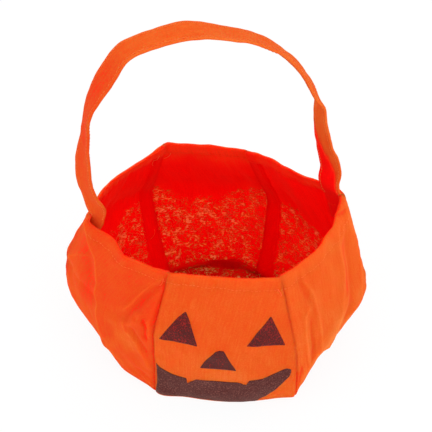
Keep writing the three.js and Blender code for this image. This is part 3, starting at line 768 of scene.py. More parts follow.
class GrowTree:
    """A Geometry Nodes tree with named inputs, run once on a mesh and kept as plain mesh."""

    def __init__(self, name: str, inputs: tuple[str, ...]) -> None:
        """Starts the tree.

        Args:
            name: The tree's name.
            inputs: The names of its sizes. It also takes a geometry and a material.
        """
        self.tree = bpy.data.node_groups.new(name, "GeometryNodeTree")
        sockets = [("Geometry", "OUTPUT", "Geometry"), ("Geometry", "INPUT", "Geometry")]
        sockets += [*((label, "INPUT", "Float") for label in inputs), ("Material", "INPUT", "Material")]
        for label, way, kind in sockets:
            self.tree.interface.new_socket(label, in_out=way, socket_type=f"NodeSocket{kind}")
        self.wiring = Wiring(self.tree)
        self.start = self.wiring.add("NodeGroupInput").outputs

    def attribute(self, name: str, kind: str) -> Socket:
        """An attribute that the source mesh carries."""
        return self.wiring.out("GeometryNodeInputNamedAttribute", {"Name": name}, data_type=kind)

    def random(self, low: Term, high: Term, seed: int) -> Socket:
        """A random number for each instance."""
        made = self.wiring.add("FunctionNodeRandomValue", {2: low, 3: high, "Seed": seed}, data_type="FLOAT")
        return made.outputs[1]

    def turned(self, rotation: Socket, angle: Socket) -> Socket:
        """A rotation with a further turn about its own upright axis.

        Args:
            rotation: The rotation.
            angle: The turn, in radians.

        Returns:
            The new rotation.
        """
        turn = self.wiring.out("FunctionNodeAxisAngleToRotation", {"Axis": (0.0, 0.0, 1.0), "Angle": angle})
        inputs = {"Rotation": rotation, "Rotate By": turn}
        return self.wiring.out("FunctionNodeRotateRotation", inputs, rotation_space="LOCAL")

    def vector(self, x: Term, y: Term, z: Term) -> Socket:
        """A vector of three sockets or numbers."""
        return self.wiring.out("ShaderNodeCombineXYZ", {0: x, 1: y, 2: z})

    def tube(self, path: Socket, sides: int) -> Socket:
        """A closed tube of the tree's own radius along a curve.

        Args:
            path: The curve.
            sides: The sides of its section.

        Returns:
            Its mesh.
        """
        circle = {"Resolution": sides, "Radius": self.start["Radius"]}
        ring = self.wiring.out("GeometryNodeCurvePrimitiveCircle", circle)
        inputs = {"Curve": path, "Profile Curve": ring, "Fill Caps": True}
        return self.wiring.out("GeometryNodeCurveToMesh", inputs)

    def bent(self, low: Term, middle: Socket, high: Term, steps: int, sides: int) -> Socket:
        """A short closed thread of the tree's own length, which bends towards a point.

        Args:
            low: The height of its first end.
            middle: The point that it bends towards.
            high: The height of its second end.
            steps: The pieces along it.
            sides: The sides of its section.

        Returns:
            Its mesh.
        """
        half = self.wiring.product(self.start["Length"], 0.5)
        start, end = self.vector(self.wiring.product(half, -1.0), 0.0, low), self.vector(half, 0.0, high)
        inputs = {"Resolution": steps, "Start": start, "Middle": middle, "End": end}
        return self.tube(self.wiring.out("GeometryNodeCurveQuadraticBezier", inputs), sides)

    def laid(self, points: Socket, shape: Socket, rotation: Socket, **sizes: Socket) -> Socket:
        """The shape on every point, turned and sized there."""
        inputs = {"Points": points, "Instance": shape, "Rotation": rotation, **sizes}
        return self.wiring.out("GeometryNodeInstanceOnPoints", inputs)

    def close(self, shape: Socket) -> None:
        """Ends the tree: instances made real, in their material.

        Args:
            shape: The finished shape.
        """
        real = self.wiring.out("GeometryNodeRealizeInstances", {"Geometry": shape})
        dressed = self.wiring.out("GeometryNodeSetMaterial", {"Geometry": real, "Material": self.start["Material"]})
        self.wiring.add("NodeGroupOutput", {"Geometry": dressed})

    def grow(self, name: str, source: Mesh, values: dict) -> Piece:
        """Runs the tree on a mesh and keeps the result as plain mesh.

        Args:
            name: The new object's name.
            source: The mesh that the tree starts from.
            values: The tree's inputs by name, lengths in metres.

        Returns:
            The object, at the origin and without modifiers.
        """
        made = add_object(name, source)
        modifier = made.modifiers.new(self.tree.name, "NODES")
        modifier.node_group = self.tree
        for socket in self.tree.interface.items_tree:
            if socket.in_out == "INPUT" and socket.name in values:
                modifier[socket.identifier] = values[socket.name]
        depsgraph = bpy.context.evaluated_depsgraph_get()
        grown = bpy.data.meshes.new_from_object(made.evaluated_get(depsgraph), depsgraph=depsgraph)
        made.modifiers.clear()
        made.data = grown
        grown.name = name
        grown.polygons.foreach_set("use_smooth", np.ones(len(grown.polygons), bool))
        return made


class StitchTree(GrowTree):
    """Stitches along lines in cloth: at every pitch one short thread that arches out of the cloth."""

    def __init__(self) -> None:
        """Builds the tree."""
        super().__init__("stitches", ("Pitch", "Length", "Radius", "Rise", "Sink", "Slant"))
        wiring, start = self.wiring, self.start
        line = wiring.out("GeometryNodeMeshToCurve", {"Mesh": start["Geometry"]})
        places = wiring.out("GeometryNodeResampleCurve", {"Curve": line, "Length": start["Pitch"]}, mode="LENGTH")
        along, out = wiring.out("GeometryNodeInputTangent"), self.attribute("out", "FLOAT_VECTOR")
        axes = {"Primary Axis": along, "Secondary Axis": out}
        upright = wiring.out("FunctionNodeAxesToRotation", axes, primary_axis="X", secondary_axis="Z")
        slant = self.random(wiring.product(start["Slant"], -1.0), start["Slant"], SEED)
        sink = wiring.product(start["Sink"], -1.0)
        middle = self.vector(0.0, 0.0, wiring.sum(wiring.product(start["Rise"], 2.0), start["Sink"]))
        thread = self.bent(sink, middle, sink, steps=6, sides=5)
        self.close(self.laid(places, thread, self.turned(upright, slant)))


class FibreTree(GrowTree):
    """Loose fibres over napped cloth, each one lying down, bent, and turned its own way."""

    def __init__(self) -> None:
        """Builds the tree."""
        super().__init__("fibres", ("Density", "Length", "Radius", "Rise"))
        wiring, start = self.wiring, self.start
        # Fibres only where the nap attribute is painted, the lower inside where light falls: painted light.
        density = wiring.product(self.attribute("nap", "FLOAT"), start["Density"])
        inputs = {"Mesh": start["Geometry"], "Density": density, "Seed": SEED}
        scattered = wiring.add("GeometryNodeDistributePointsOnFaces", inputs).outputs
        turn, size = self.random(0.0, 2.0 * math.pi, SEED + 1), self.random(0.6, 1.4, SEED + 2)
        middle = self.vector(0.0, wiring.product(start["Length"], 0.5), wiring.product(start["Rise"], 1.6))
        fibre = self.bent(0.0, middle, start["Rise"], steps=4, sides=3)
        rotation = self.turned(scattered["Rotation"], turn)
        self.close(self.laid(scattered["Points"], fibre, rotation, Scale=self.vector(size, size, 1.0)))


class LooseThreadTree(GrowTree):
    """One loose thread along each line."""

    def __init__(self) -> None:
        """Builds the tree."""
        super().__init__("loose_threads", ("Radius",))
        line = self.wiring.out("GeometryNodeMeshToCurve", {"Mesh": self.start["Geometry"]})
        self.close(self.tube(line, 5))


def line_mesh(name: str, lines: list[tuple[Array, Array]]) -> Mesh:
    """A mesh of open lines, whose points also know which way is out of the cloth.

    Args:
        name: The mesh's name.
        lines: For each line its points, in millimetres, and the ways out of the cloth.

    Returns:
        The mesh, in metres.
    """
    mesh = bpy.data.meshes.new(name)
    points = np.concatenate([line for line, _ in lines])
    starts = np.cumsum([0, *(len(line) for line, _ in lines)])
    edges = [np.stack([np.arange(a, b - 1), np.arange(a + 1, b)], 1) for a, b in zip(starts, starts[1:])]
    edges = np.concatenate(edges).astype(np.int32)
    mesh.vertices.add(len(points))
    mesh.vertices.foreach_set("co", (points * MM).astype(np.float32).ravel())
    mesh.edges.add(len(edges))
    mesh.edges.foreach_set("vertices", edges.ravel())
    out = np.concatenate([ways for _, ways in lines])
    mesh.attributes.new("out", "FLOAT_VECTOR", "POINT").data.foreach_set("vector", out.astype(np.float32).ravel())
    return mesh


def tint(red: int, green: int, blue: int) -> tuple[float, float, float, float]:
    """A screen colour of 0 to 255 as the linear colour that Blender takes.

    Args:
        red: Its red part.
        green: Its green part.
        blue: Its blue part.

    Returns:
        The colour, and 1 for its cover.
    """
    parts = [value / 255.0 for value in (red, green, blue)]
    linear = [v / 12.92 if v <= 0.04045 else ((v + 0.055) / 1.055) ** 2.4 for v in parts]
    return (*linear, 1.0)


def new_finish(name: str) -> tuple[Material, Wiring]:
    """A new material, with its emptied node tree to wire.

    Args:
        name: Its name.

    Returns:
        The material and the wiring.
    """
    made = bpy.data.materials.new(name)
    made.use_nodes = True
    return made, Wiring(made.node_tree)


@dataclass(frozen=True)
class BrushedCloth:
    """Brushed orange cotton: deeper reds for painted shade, paler oranges for painted highlights and wear.

    The mesh's attribute tone chooses the tone from 0 to 1, and the nap attribute, which is painted light,
    says where pale fibres show.
    Mottle, patches, hairs and streaks are noises, each a number of waves to the metre and its detail.
    """

    name: str
    # Deep reds at the low end paint shade, the middle is the cloth's own orange, the pale high end paints highlights,
    # lit specks and wear.
    tones: Dyes = (
        (0.0, (244, 1, 2)), (0.08, (255, 4, 5)), (0.15, (255, 28, 11)), (0.2, (252, 54, 19)),
        (0.24, (244, 46, 16)), (0.28, (240, 36, 10)), (0.32, (226, 47, 14)), (0.36, (216, 62, 19)),
        (0.5, (216, 84, 23)), (0.62, (220, 101, 38)), (0.78, (238, 120, 58)), (1.0, (255, 158, 102)),
    )
    mottle: Pair = (900.0, 3.0)
    patches: Pair = (55.0, 3.0)
    hairs: Pair = (2100.0, 1.0)
    streaks: Pair = (70.0, 3.0)
    speck_size: float = 1.7
    clump_size: float = 7.0
    spots: float = 0.95
    roughness: float = 0.93
    sheen: float = 0.07
    bump: float = 0.5
    bump_depth: float = 0.6
    glow: float = 1.0
    glow_reach: tuple[float, float, float] = (9.0, 0.7, 0.25)

    def material(self) -> Material:
        """The finish as a Blender material.

        Returns:
            The cloth's material.
        """
        made, wiring = new_finish(self.name)
        place, cloth = wiring.place(), wiring.out("ShaderNodeUVMap", uv_map="Cloth")
        mottle, patches, hairs = (wiring.noise(place, *one) for one in (self.mottle, self.patches, self.hairs))
        streaks = wiring.noise(wiring.stretched(cloth, 1.0, 0.07), *self.streaks)
        specks = wiring.noise(wiring.stretched(cloth, 0.6, 1.0), 100.0 / self.speck_size, 3.0)
        clumps = wiring.noise(place, 1000.0 / self.clump_size, 2.0)
        lively = wiring.sum(specks, wiring.product(clumps, 0.7), 0.02)
        steps = {0: lively, 1: -0.03, 2: 0.2, 3: 0.0, 4: self.spots}
        spots = wiring.out("ShaderNodeMapRange", steps, interpolation_type="SMOOTHSTEP")
        # Pale specks only where the nap attribute is painted: painted light on the lower inside.
        dappled = wiring.product(spots, wiring.painted("nap"))
        grain = wiring.weighted((mottle, 0.26), (hairs, 0.12), (streaks, 0.2))
        level = wiring.sum(wiring.painted("tone"), grain, wiring.product(patches, 0.14), dappled)
        height = wiring.weighted((mottle, 0.6), (hairs, 0.35), (dappled, 1.6))
        relief = {"Height": height, "Strength": self.bump, "Distance": self.bump_depth * MM}
        wiring.end("ShaderNodeBsdfPrincipled", {
            "Base Color": wiring.ramp(level, self.tones), "Roughness": self.roughness,
            "Normal": wiring.out("ShaderNodeBump", relief), "Specular IOR Level": 0.06,
            "Sheen Weight": self.sheen, "Sheen Roughness": 0.5, "Sheen Tint": tint(255, 150, 90),
            "Subsurface Weight": self.glow, "Subsurface Radius": self.glow_reach, "Subsurface Scale": MM,
        })
        return made


@dataclass(frozen=True)
class SoakedInk:
    """Dark maroon ink that has soaked unevenly into the nap: the mesh's attribute soak says how deep."""

    name: str = "print_ink"
    inks: Dyes = (
        (0.0, (126, 69, 61)), (0.3, (82, 37, 33)), (0.5, (70, 25, 23)), (0.76, (76, 15, 15)),
        (1.05, (150, 26, 22)),
    )
    grain: Pair = (800.0, 3.0)
    patches: Pair = (70.0, 2.0)
    fine: Pair = (1700.0, 1.0)
    bump_depth: float = 0.4

    def material(self) -> Material:
        """The finish as a Blender material.

        Returns:
            The ink's material.
        """
        made, wiring = new_finish(self.name)
        place = wiring.place()
        grain, patches, fine = (wiring.noise(place, *one) for one in (self.grain, self.patches, self.fine))
        uneven = ((grain, 1.5), (fine, 1.1), (patches, 0.3))
        level = wiring.sum(wiring.painted("soak"), *(wiring.product(*one) for one in uneven))
        relief = {"Height": grain, "Strength": 0.25, "Distance": self.bump_depth * MM}
        wiring.end("ShaderNodeBsdfPrincipled", {
            "Base Color": wiring.ramp(level, self.inks), "Roughness": 0.85,
            "Normal": wiring.out("ShaderNodeBump", relief), "Specular IOR Level": 0.2,
            "Sheen Weight": 0.1, "Sheen Roughness": 0.5, "Sheen Tint": tint(255, 190, 170),
        })
        return made


@dataclass(frozen=True)
class Thread:
    """Spun thread or loose fibre in one colour, with a little variation along it."""

    name: str
    colour: Dye
    paler: Dye
    clear: float = 0.0

    def material(self) -> Material:
        """The finish as a Blender material.

        Returns:
            The thread's material.
        """
        made, wiring = new_finish(self.name)
        level = wiring.sum(0.5, wiring.noise(wiring.place(), 400.0, 2.0))
        wiring.end("ShaderNodeBsdfPrincipled", {
            "Base Color": wiring.ramp(level, ((0.3, self.colour), (0.7, self.paler))), "Roughness": 0.8,
            "Specular IOR Level": 0.2, "IOR": 1.2, "Transmission Weight": self.clear,
        })
        return made


@dataclass
class WallPanel:
    """One of the six sewn wall panels, with its hem, its allowances, its folds and its tones.

    Nap top is how far up the inside the pale fibres show, across the width: painted light, as they stop where
    the upper inside turns from the light. Layer ends say where the two layers of an allowance end, counting it as
    10 wide, and how many cloths thick each is.
    """

    form: BagForm
    index: int
    name: str
    seams: tuple[Seam, Seam]
    left_laid: bool = False
    right_laid: bool = False
    folds: tuple[Fold, ...] = ()
    outer_tone_and_shade: float = 0.5
    deepest_outside_shade: float = 0.28
    inner_painted_shade: float = 0.05
    allowance_painted_shade: float = 0.02
    hem_tone_and_light: float = 0.2
    hem_fade: float = 24.0
    hem_blend: float = 4.0
    hem_stitch: float = 10.3
    hem_pull: float = 0.28
    hem_groove: float = 0.26
    slump: float = 0.7
    crease: float = 0.18
    lit_nap_top: Line = ((0.0, 84.0), (1.0, 84.0))
    lit_nap_waver: float = 2.0
    lit_nap_fade: Pair = (-3.0, 5.0)
    nap_foot: Pair = (3.0, 4.0)
    base_allowance: float = 7.0
    allowance_spread: float = 0.6
    allowance_waver: float = 0.5
    layer_ends: Line = ((10.03, 1.0), (8.22, 0.6))
    under_hem: Pair = (8.0, 13.0)
    rim_flat: float = 0.04
    foot_round: float = 0.8
    edge_steps: Steps = (
        0.0, 0.25, 0.6, 1.1, 1.7, 2.5, 3.4, 4.4, 5.4, 6.4, 7.4, 8.1, 8.35, 9.2, 9.9, 10.15, 11.0,
    )
    foot_steps: Steps = (0.0, 0.25, 0.7, 1.3, 2.2, 3.2, 4.3, 5.4, 6.3)
    rim_steps: Steps = (
        11.4, 10.9, 10.3, 9.7, 9.1, 8.2, 7.2, 6.2, 5.2, 4.2, 3.3, 2.4, 1.5, 1.1, 0.7, 0.35, 0.12, 0.0,
    )
    layer_step: float = 0.25
    middle_columns: int = 84
    middle_rows: int = 118
    hem_points: int = 220

    def width_at(self, up: Array) -> Array:
        """The panel's width at each height up its cloth.

        Args:
            up: Millimetres up the cloth.

        Returns:
            Millimetres, in as many places.
        """
        flat = np.atleast_1d(np.asarray(up, float))
        widths = self.form.width(self.index, self.form.level(flat.ravel())).reshape(flat.shape)
        return widths if np.ndim(up) else widths[0]

    def rows(self) -> Array:
        """The heights up the cloth of the panel's rows, closer at the base, the hem's end and the rim.

        Returns:
            Millimetres up the cloth, from the base to the rim.
        """
        edge, step, hem_end = self.base_allowance, self.layer_step, self.form.length - HEM_DEPTH
        middle = np.linspace(edge + 2.3, hem_end - 1.0, self.middle_rows)
        near_rim = self.form.length - np.array(self.rim_steps)
        low = [*self.foot_steps, edge, edge + step, edge + 1.2]
        return np.array([*low, *middle, hem_end - step, hem_end, *near_rim])

    def grid(self) -> tuple[Array, Array]:
        """Millimetres across from the left seam and up the cloth, for each row and column.

        Returns:
            Two arrays with a row for each height and a column for each place across.
        """
        rows = self.rows()
        width = self.width_at(rows)
        edge = np.array(self.edge_steps)
        left = self.from_seam(edge, rows[:, None], self.left_laid)
        right = width[:, None] - self.from_seam(edge, rows[:, None], self.right_laid)[:, ::-1]
        share = np.linspace(0, 1, self.middle_columns + 2)[1:-1]
        middle = left[:, -1:] + (right[:, :1] - left[:, -1:]) * share
        across = np.concatenate([left, middle, right], axis=1)
        return across, np.broadcast_to(rows[:, None], across.shape).copy()

    def allowance_at(self, up: Array, laid: bool) -> Array:
        """An allowance's width at each height, wider low down where it is laid over, and a little wavy.

        Args:
            up: Millimetres up the cloth.
            laid: Whether it is laid on this panel.

        Returns:
            Millimetres, in as many places.
        """
        spread = 1.0 + self.allowance_spread * (1.0 - up / self.form.length) if laid else 1.0
        waver = Waves.ALLOWANCE_EDGE.at(up, np.zeros(np.shape(up)), self.index)
        return ALLOWANCE * spread + self.allowance_waver * waver

    def from_seam(self, edge: Array, up: Array, laid: bool) -> Array:
        """Millimetres from a seam for steps that count its allowance as 10 wide."""
        stretch = (self.allowance_at(up, laid) - FIXED_EDGE) / (ALLOWANCE - FIXED_EDGE)
        return np.where(edge > FIXED_EDGE, FIXED_EDGE + (edge - FIXED_EDGE) * stretch, edge)

    def laid_edges(self, across: Array, up: Array) -> list[Array]:
        """Millimetres from each seam whose allowance is laid on this panel."""
        sides = ((self.left_laid, across), (self.right_laid, self.width_at(up) - across))
        return [away for laid, away in sides if laid]

    def relief(self, across: Array, up: Array) -> tuple[Array, Array]:
        """How far the cloth stands out, and its painted light and shade, at each place.

        Args:
            across: Millimetres from the left seam.
            up: Millimetres up the cloth.

        Returns:
            Millimetres outwards, and the painted light and shade.
        """
        width, from_stitches = self.width_at(up), self.form.length - up - self.hem_stitch
        out = self.slump * Waves.SLUMP.at(across, up, self.index)
        out += self.crease * Waves.CREASE.at(across, up, self.index)
        tone = np.zeros(across.shape)
        for fold in self.folds:
            height, shade = fold.shape(across, up, self.width_at)
            out += height
            tone += shade
        out *= smoothstep(0.0, 5.0, across) * smoothstep(0.0, 5.0, width - across) * smoothstep(-2.0, 9.0, up)
        pull = self.hem_pull * np.exp(-np.abs(from_stitches) / 4.5)
        out += pull * Waves.HEM_PULL.at(across, up, self.index)
        out -= self.hem_groove * np.exp(-((from_stitches / 0.7) ** 2))
        left, right = self.seams
        sides = ((left, across, left.after), (right, width - across, right.before))
        for number, (seam, away, reach) in enumerate(sides):
            depth = read_pairs(seam.depths, up)
            shared = Waves.SEAM_PUCKER.at(up, np.zeros(up.shape), (self.index + number) % CORNERS)
            out -= depth * np.exp(-away / reach)
            out += seam.pucker * shared * np.exp(-away / seam.pucker_reach) * smoothstep(0, 6, up)
            # Painted shade along each seam's groove.
            tone -= seam.shade * np.minimum(depth, 2.0) * np.exp(-away / seam.shade_reach)
        return out, tone

    def layers(self, across: Array, up: Array) -> Array:
        """Thickness of the cloth at each place, with its hem and its allowances.

        Args:
            across: Millimetres from the left seam.
            up: Millimetres up the cloth.

        Returns:
            Millimetres of cloth.
        """
        turned_in = up >= self.form.length - HEM_DEPTH
        thickness = np.where(turned_in, HEM_LAYERS, CLOTH)
        thickness = np.where(up <= self.base_allowance, np.maximum(thickness, 2 * CLOTH), thickness)
        for away in self.laid_edges(across, up):
            counted = away * (ALLOWANCE / self.allowance_at(up, True))
            hidden = HEM_LAYERS + CLOTH * (1.0 - smoothstep(*self.under_hem, away))
            steps = CLOTH + CLOTH * sum((counted < end) * cloths for end, cloths in self.layer_ends)
            thickness = np.maximum(thickness, np.where(turned_in, hidden, steps))
        return thickness

    def nap(self, across: Array, up: Array) -> Array:
        """How much loose pale fibre shows on the inside at each place, from 0 to 1, partly painted light.

        Args:
            across: Millimetres from the left seam.
            up: Millimetres up the cloth.

        Returns:
            The share of nap.
        """
        # Painted light: the fibres end at this top line, where the upper inside turns away from the light; the laid
        # allowances have none of their own.
        top = read_pairs(self.lit_nap_top, across / self.width_at(up))
        top = top + self.lit_nap_waver * Waves.LIT_NAP_EDGE.at(across, up, self.index)
        amount = 1.0 - smoothstep(*self.lit_nap_fade, up - top)
        for away in self.laid_edges(across, up):
            edge = self.allowance_at(up, True)
            amount *= smoothstep(edge, edge + 0.8, away)
        return amount * smoothstep(*self.nap_foot, up)

    def surface(self, across: Array, up: Array, depth: Array) -> Array:
        """Points of the dressed cloth, a depth inwards from its outer face.

        Args:
            across: Millimetres from the left seam.
            up: Millimetres up the cloth.
            depth: Millimetres inwards.

        Returns:
            Points, with one more axis than across.
        """
        out, _ = self.relief(across, up)
        return self.form.point(self.index, across / self.width_at(up), self.form.level(up), depth - out)

    def hem_line(self, side: Side) -> tuple[Array, Array]:
        """The hem's line of stitches on one side of the cloth, with the ways out of it.

        Args:
            side: The side of the cloth.

        Returns:
            The line's points, and one vector for each.
        """
        inset, nudge = 1.5, 0.4
        up = np.full(self.hem_points, self.form.length - self.hem_stitch)
        across = np.linspace(inset, float(self.width_at(up[0])) - inset, len(up))
        depth = self.layers(across, up) if side is Side.INSIDE else np.zeros(len(up))
        line = self.surface(across, up, depth)
        along = self.surface(across + nudge, up, depth) - line
        rise = self.surface(across, up + nudge, depth) - line
        out = unit(np.cross(along, rise))
        return line, -out if side is Side.INSIDE else out

    def napped_sheet(self) -> Mesh:
        """The napped inner face alone, as an open sheet on which fibres are laid.

        Returns:
            The mesh to grow on, with its nap painted.
        """
        across, up = self.grid()
        inner = self.surface(across, up, self.layers(across, up))
        numbers = np.arange(across.size).reshape(across.shape)
        quads = quads_of(numbers[:-1, :-1], numbers[1:, :-1], numbers[1:, 1:], numbers[:-1, 1:])
        mesh = solid_mesh(f"{self.name}_inside", inner.reshape(-1, 3), quads)
        paint(mesh, "nap", self.nap(across, up))
        return mesh

    def build(self, material: Material) -> Piece:
        """Makes the panel's closed mesh and dresses it.

        Args:
            material: The wall cloth.

        Returns:
            The panel's object.
        """
        across, up = self.grid()
        out, shade = self.relief(across, up)
        thickness = self.layers(across, up)
        rim = round_off(thickness / 2.0 - self.rim_flat, self.form.length - up)
        foot = round_off(self.foot_round, up)
        share, level = across / self.width_at(up), self.form.level(up)
        outer = self.form.point(self.index, share, level, rim + foot - out)
        inner = self.form.point(self.index, share, level, thickness - rim - out)
        points = np.concatenate([outer.reshape(-1, 3), inner.reshape(-1, 3)])
        mesh = solid_mesh(f"{self.name}_cloth", points, shell_quads(*across.shape))
        hem_end = self.form.length - HEM_DEPTH
        # Painted light inside: the deep red of the inside is painted shade, turning up the hem to the turned-in
        # cloth's own orange with painted light.
        hem = smoothstep(hem_end - self.hem_fade, hem_end + self.hem_blend, up)
        laid = (thickness > CLOTH) & (up < hem_end) & (up > self.base_allowance)
        inside = self.inner_painted_shade + (self.hem_tone_and_light - self.inner_painted_shade) * hem
        # Painted shade: the laid allowances a deeper red, in the seams' valleys.
        inside = np.where(laid, self.allowance_painted_shade, inside)
        # Outside: each panel's tone, deeper as painted shade on the panels turned from the light, with the folds' and
        # seams' painted light and shade, no deeper than the clamp.
        outside = np.maximum(self.outer_tone_and_shade + shade, self.deepest_outside_shade)
        paint(mesh, "tone", np.concatenate([outside.ravel(), inside.ravel()]))
        paint(mesh, "nap", np.concatenate([np.zeros(across.size), self.nap(across, up).ravel()]))
        lay_map(mesh, np.concatenate([across.ravel()] * 2), np.concatenate([up.ravel()] * 2))
        made = dress(mesh, material, "wall_cloth", self.name)
        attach(made, "bag")
        return made


FRONT_LEFT_SEAM = Seam(((0, 1.2), (85, 1.4), (95, 3.0), (137, 2.6), (150, 1.0), (159, 0.5)), before=3.2, after=1.2)
FRONT_RIGHT_SEAM = Seam(((0, 2.2), (45, 2.2), (60, 1.0), (150, 1.1), (159, 0.5)), before=1.2, after=1.8)
PLAIN_SEAM = Seam()

# In these folds tone is painted light: highlights along pressed ridges, shade in valleys, and broad lighter patches
# low on the front panels where light comes up from the floor.
FRONT_LEFT_FOLDS = (
    Fold(
        (
            (0.04, 158), (0.115, 155), (0.205, 146), (0.34, 130), (0.455, 105), (0.52, 81), (0.53, 60), (0.525, 40),
            (0.5, 0),
        ),
        3.7, 7, 24, Profile.PRESSED, tone=0.17, tone_reach=1.1, fade=6,
    ),
    Fold(((0.1, 148), (0.24, 126), (0.36, 100), (0.41, 60)), -0.8, 5, 5, tone=-0.07, tone_reach=12, fade=14),
    Fold(((0.62, 60), (0.76, 62), (0.88, 46)), 0.6, 8, 8, tone=0.12, tone_reach=12, fade=10),
    Fold(
        ((0.33, 128), (0.245, 122), (0.155, 113), (0.075, 101), (0.02, 87)),
        1.6, 7, 6, Profile.PRESSED, tone=0.07, tone_reach=1.3,
    ),
    Fold(
        ((0.98, 146), (0.935, 133), (0.885, 121), (0.855, 110), (0.825, 100), (0.775, 81)),
        -2.2, 4.2, 3.6, tone=-0.06, tone_reach=2.4,
    ),
    Fold(
        ((0.92, 147), (0.87, 133), (0.82, 119), (0.785, 106), (0.73, 88)),
        1.3, 4, 5, Profile.PRESSED, tone=0.06, tone_reach=1.5,
    ),
    Fold(((0.865, 92), (0.825, 84), (0.8, 75)), 1.8, 4, 3.5, tone=0.05, tone_reach=2.6, fade=5),
    Fold(((0.91, 97), (0.935, 86), (0.95, 69)), -2.2, 1.8, 2.2, tone=-0.14, tone_reach=1.2, fade=6),
    Fold(((0.955, 99), (0.97, 88), (0.975, 74)), 1.4, 2.4, 2, tone=0.05, tone_reach=1.6, fade=5),
    Fold(((0.9, 104), (0.87, 98), (0.84, 96)), 1.1, 2.4, 2.4, tone=0.04, tone_reach=1.4, fade=4),
    Fold(
        ((0.74, 84), (0.78, 71), (0.825, 67), (0.865, 62), (0.925, 49), (0.97, 38), (1.0, 29)),
        2.1, 7, 6, Profile.PRESSED, tone=0.1, tone_reach=1.3, fade=8,
    ),
    Fold(((0.8, 82), (0.84, 74), (0.9, 64), (0.96, 52)), -1.5, 2.4, 2.4, tone=-0.08, tone_reach=1.5, fade=7),
    Fold(((0.68, 76), (0.66, 63), (0.62, 44)), -1.3, 6, 5, tone=-0.05, tone_reach=3.4),
    Fold(((0.69, 58), (0.64, 45), (0.58, 27)), 1.4, 5, 7, tone=0.06, tone_reach=5),
    Fold(((0.66, 40), (0.63, 28), (0.61, 16)), 1.2, 3, 4, Profile.PRESSED, tone=0.06, tone_reach=1.2, fade=7),
    Fold(((0.82, 30), (0.9, 22), (0.98, 16)), -1.6, 4.5, 4.5, tone=-0.06, tone_reach=3),
)
FRONT_RIGHT_FOLDS = (
    Fold(((0.145, 157), (0.16, 147), (0.175, 135), (0.2, 124), (0.2, 116)), -1.6, 3.4, 3, tone=-0.07, tone_reach=2),
    Fold(
        ((0.185, 149), (0.22, 139), (0.255, 129), (0.258, 110), (0.265, 80), (0.28, 50)),
        1.9, 4, 8, Profile.PRESSED, tone=0.1, tone_reach=1.1,
    ),
    Fold(
        ((0.225, 116.5), (0.165, 115.5), (0.135, 110.5), (0.115, 98), (0.12, 75), (0.135, 57), (0.13, 40)),
        1.7, 4, 4, Profile.PRESSED, tone=0.1, tone_reach=1.0, fade=8,
    ),
    Fold(((0.2, 111), (0.18, 101), (0.18, 85), (0.185, 64), (0.18, 44)), -1.8, 2.6, 2.6, tone=-0.09, tone_reach=1.8),
    Fold(
        (
            (0.8, 158), (0.715, 154), (0.665, 146), (0.645, 131), (0.625, 119.5), (0.57, 107), (0.5, 92), (0.44, 72),
            (0.42, 40),
        ),
        2.6, 15, 7, Profile.PRESSED, tone=0.06, tone_reach=1.5, fade=8,
    ),
    Fold(
        ((0.83, 150), (0.82, 136), (0.81, 124), (0.8, 112), (0.74, 98), (0.64, 82), (0.58, 66)),
        -3.0, 7, 6, tone=-0.08, tone_reach=4,
    ),
    Fold(
        ((0.9, 150), (0.93, 138), (0.965, 128), (0.975, 116), (0.925, 104), (0.88, 90), (0.85, 74)),
        1.7, 5, 6, Profile.PRESSED, tone=0.1, tone_reach=1.2,
    ),
    Fold(((0.05, 62), (0.03, 45), (0.03, 20)), -1.4, 1.6, 1.6, tone=-0.2, tone_reach=1.0, fade=6),
    Fold(
        ((0.77, 146), (0.74, 130), (0.705, 118), (0.655, 106), (0.62, 96)),
        -0.4, 4, 4, tone=-0.17, tone_reach=3.4, fade=8,
    ),
    Fold(((0.56, 94), (0.46, 80), (0.38, 64), (0.33, 48)), 0.4, 8, 8, tone=0.14, tone_reach=7, fade=12),
    Fold(((0.4, 62), (0.5, 36), (0.56, 8)), 0.5, 14, 14, tone=0.17, tone_reach=17, fade=18),
    Fold(((0.8, 160), (0.93, 154)), -1.2, 2, 2, tone=-0.2, tone_reach=1.1, fade=4),
)
FRONT_FOLDS = (
    Fold(((0.95, 151), (0.965, 143)), 0.9, 1.5, 1.5, tone=0.1, tone_reach=1.0, fade=3),
    Fold(((0.5, 150), (0.52, 95), (0.5, 60)), 0.8, 22, 22),
    Fold(((0.08, 140), (0.1, 100), (0.07, 60)), 0.7, 8, 12),
    Fold(((0.5, 66), (0.5, 30)), 0.3, 30, 30, tone=0.09, tone_reach=30, fade=20),
)
BACK_FOLDS = (
    Fold(((0.3, 150), (0.34, 110), (0.4, 60)), -1.6, 9, 12),
    Fold(((0.7, 148), (0.66, 100), (0.72, 40)), 1.8, 10, 8, Profile.PRESSED, tone=0.06),
    Fold(((0.12, 120), (0.2, 90), (0.16, 50)), 1.6, 7, 7),
)
SIDE_FOLDS = (
    Fold(((0.3, 155), (0.36, 118), (0.32, 84)), 1.8, 8, 10, Profile.PRESSED, tone=0.06),
    Fold(((0.62, 152), (0.6, 110), (0.68, 70), (0.64, 20)), -1.8, 9, 9),
    Fold(((0.78, 120), (0.74, 80), (0.8, 40)), 1.8, 6, 8, Profile.PRESSED, tone=0.06),
)


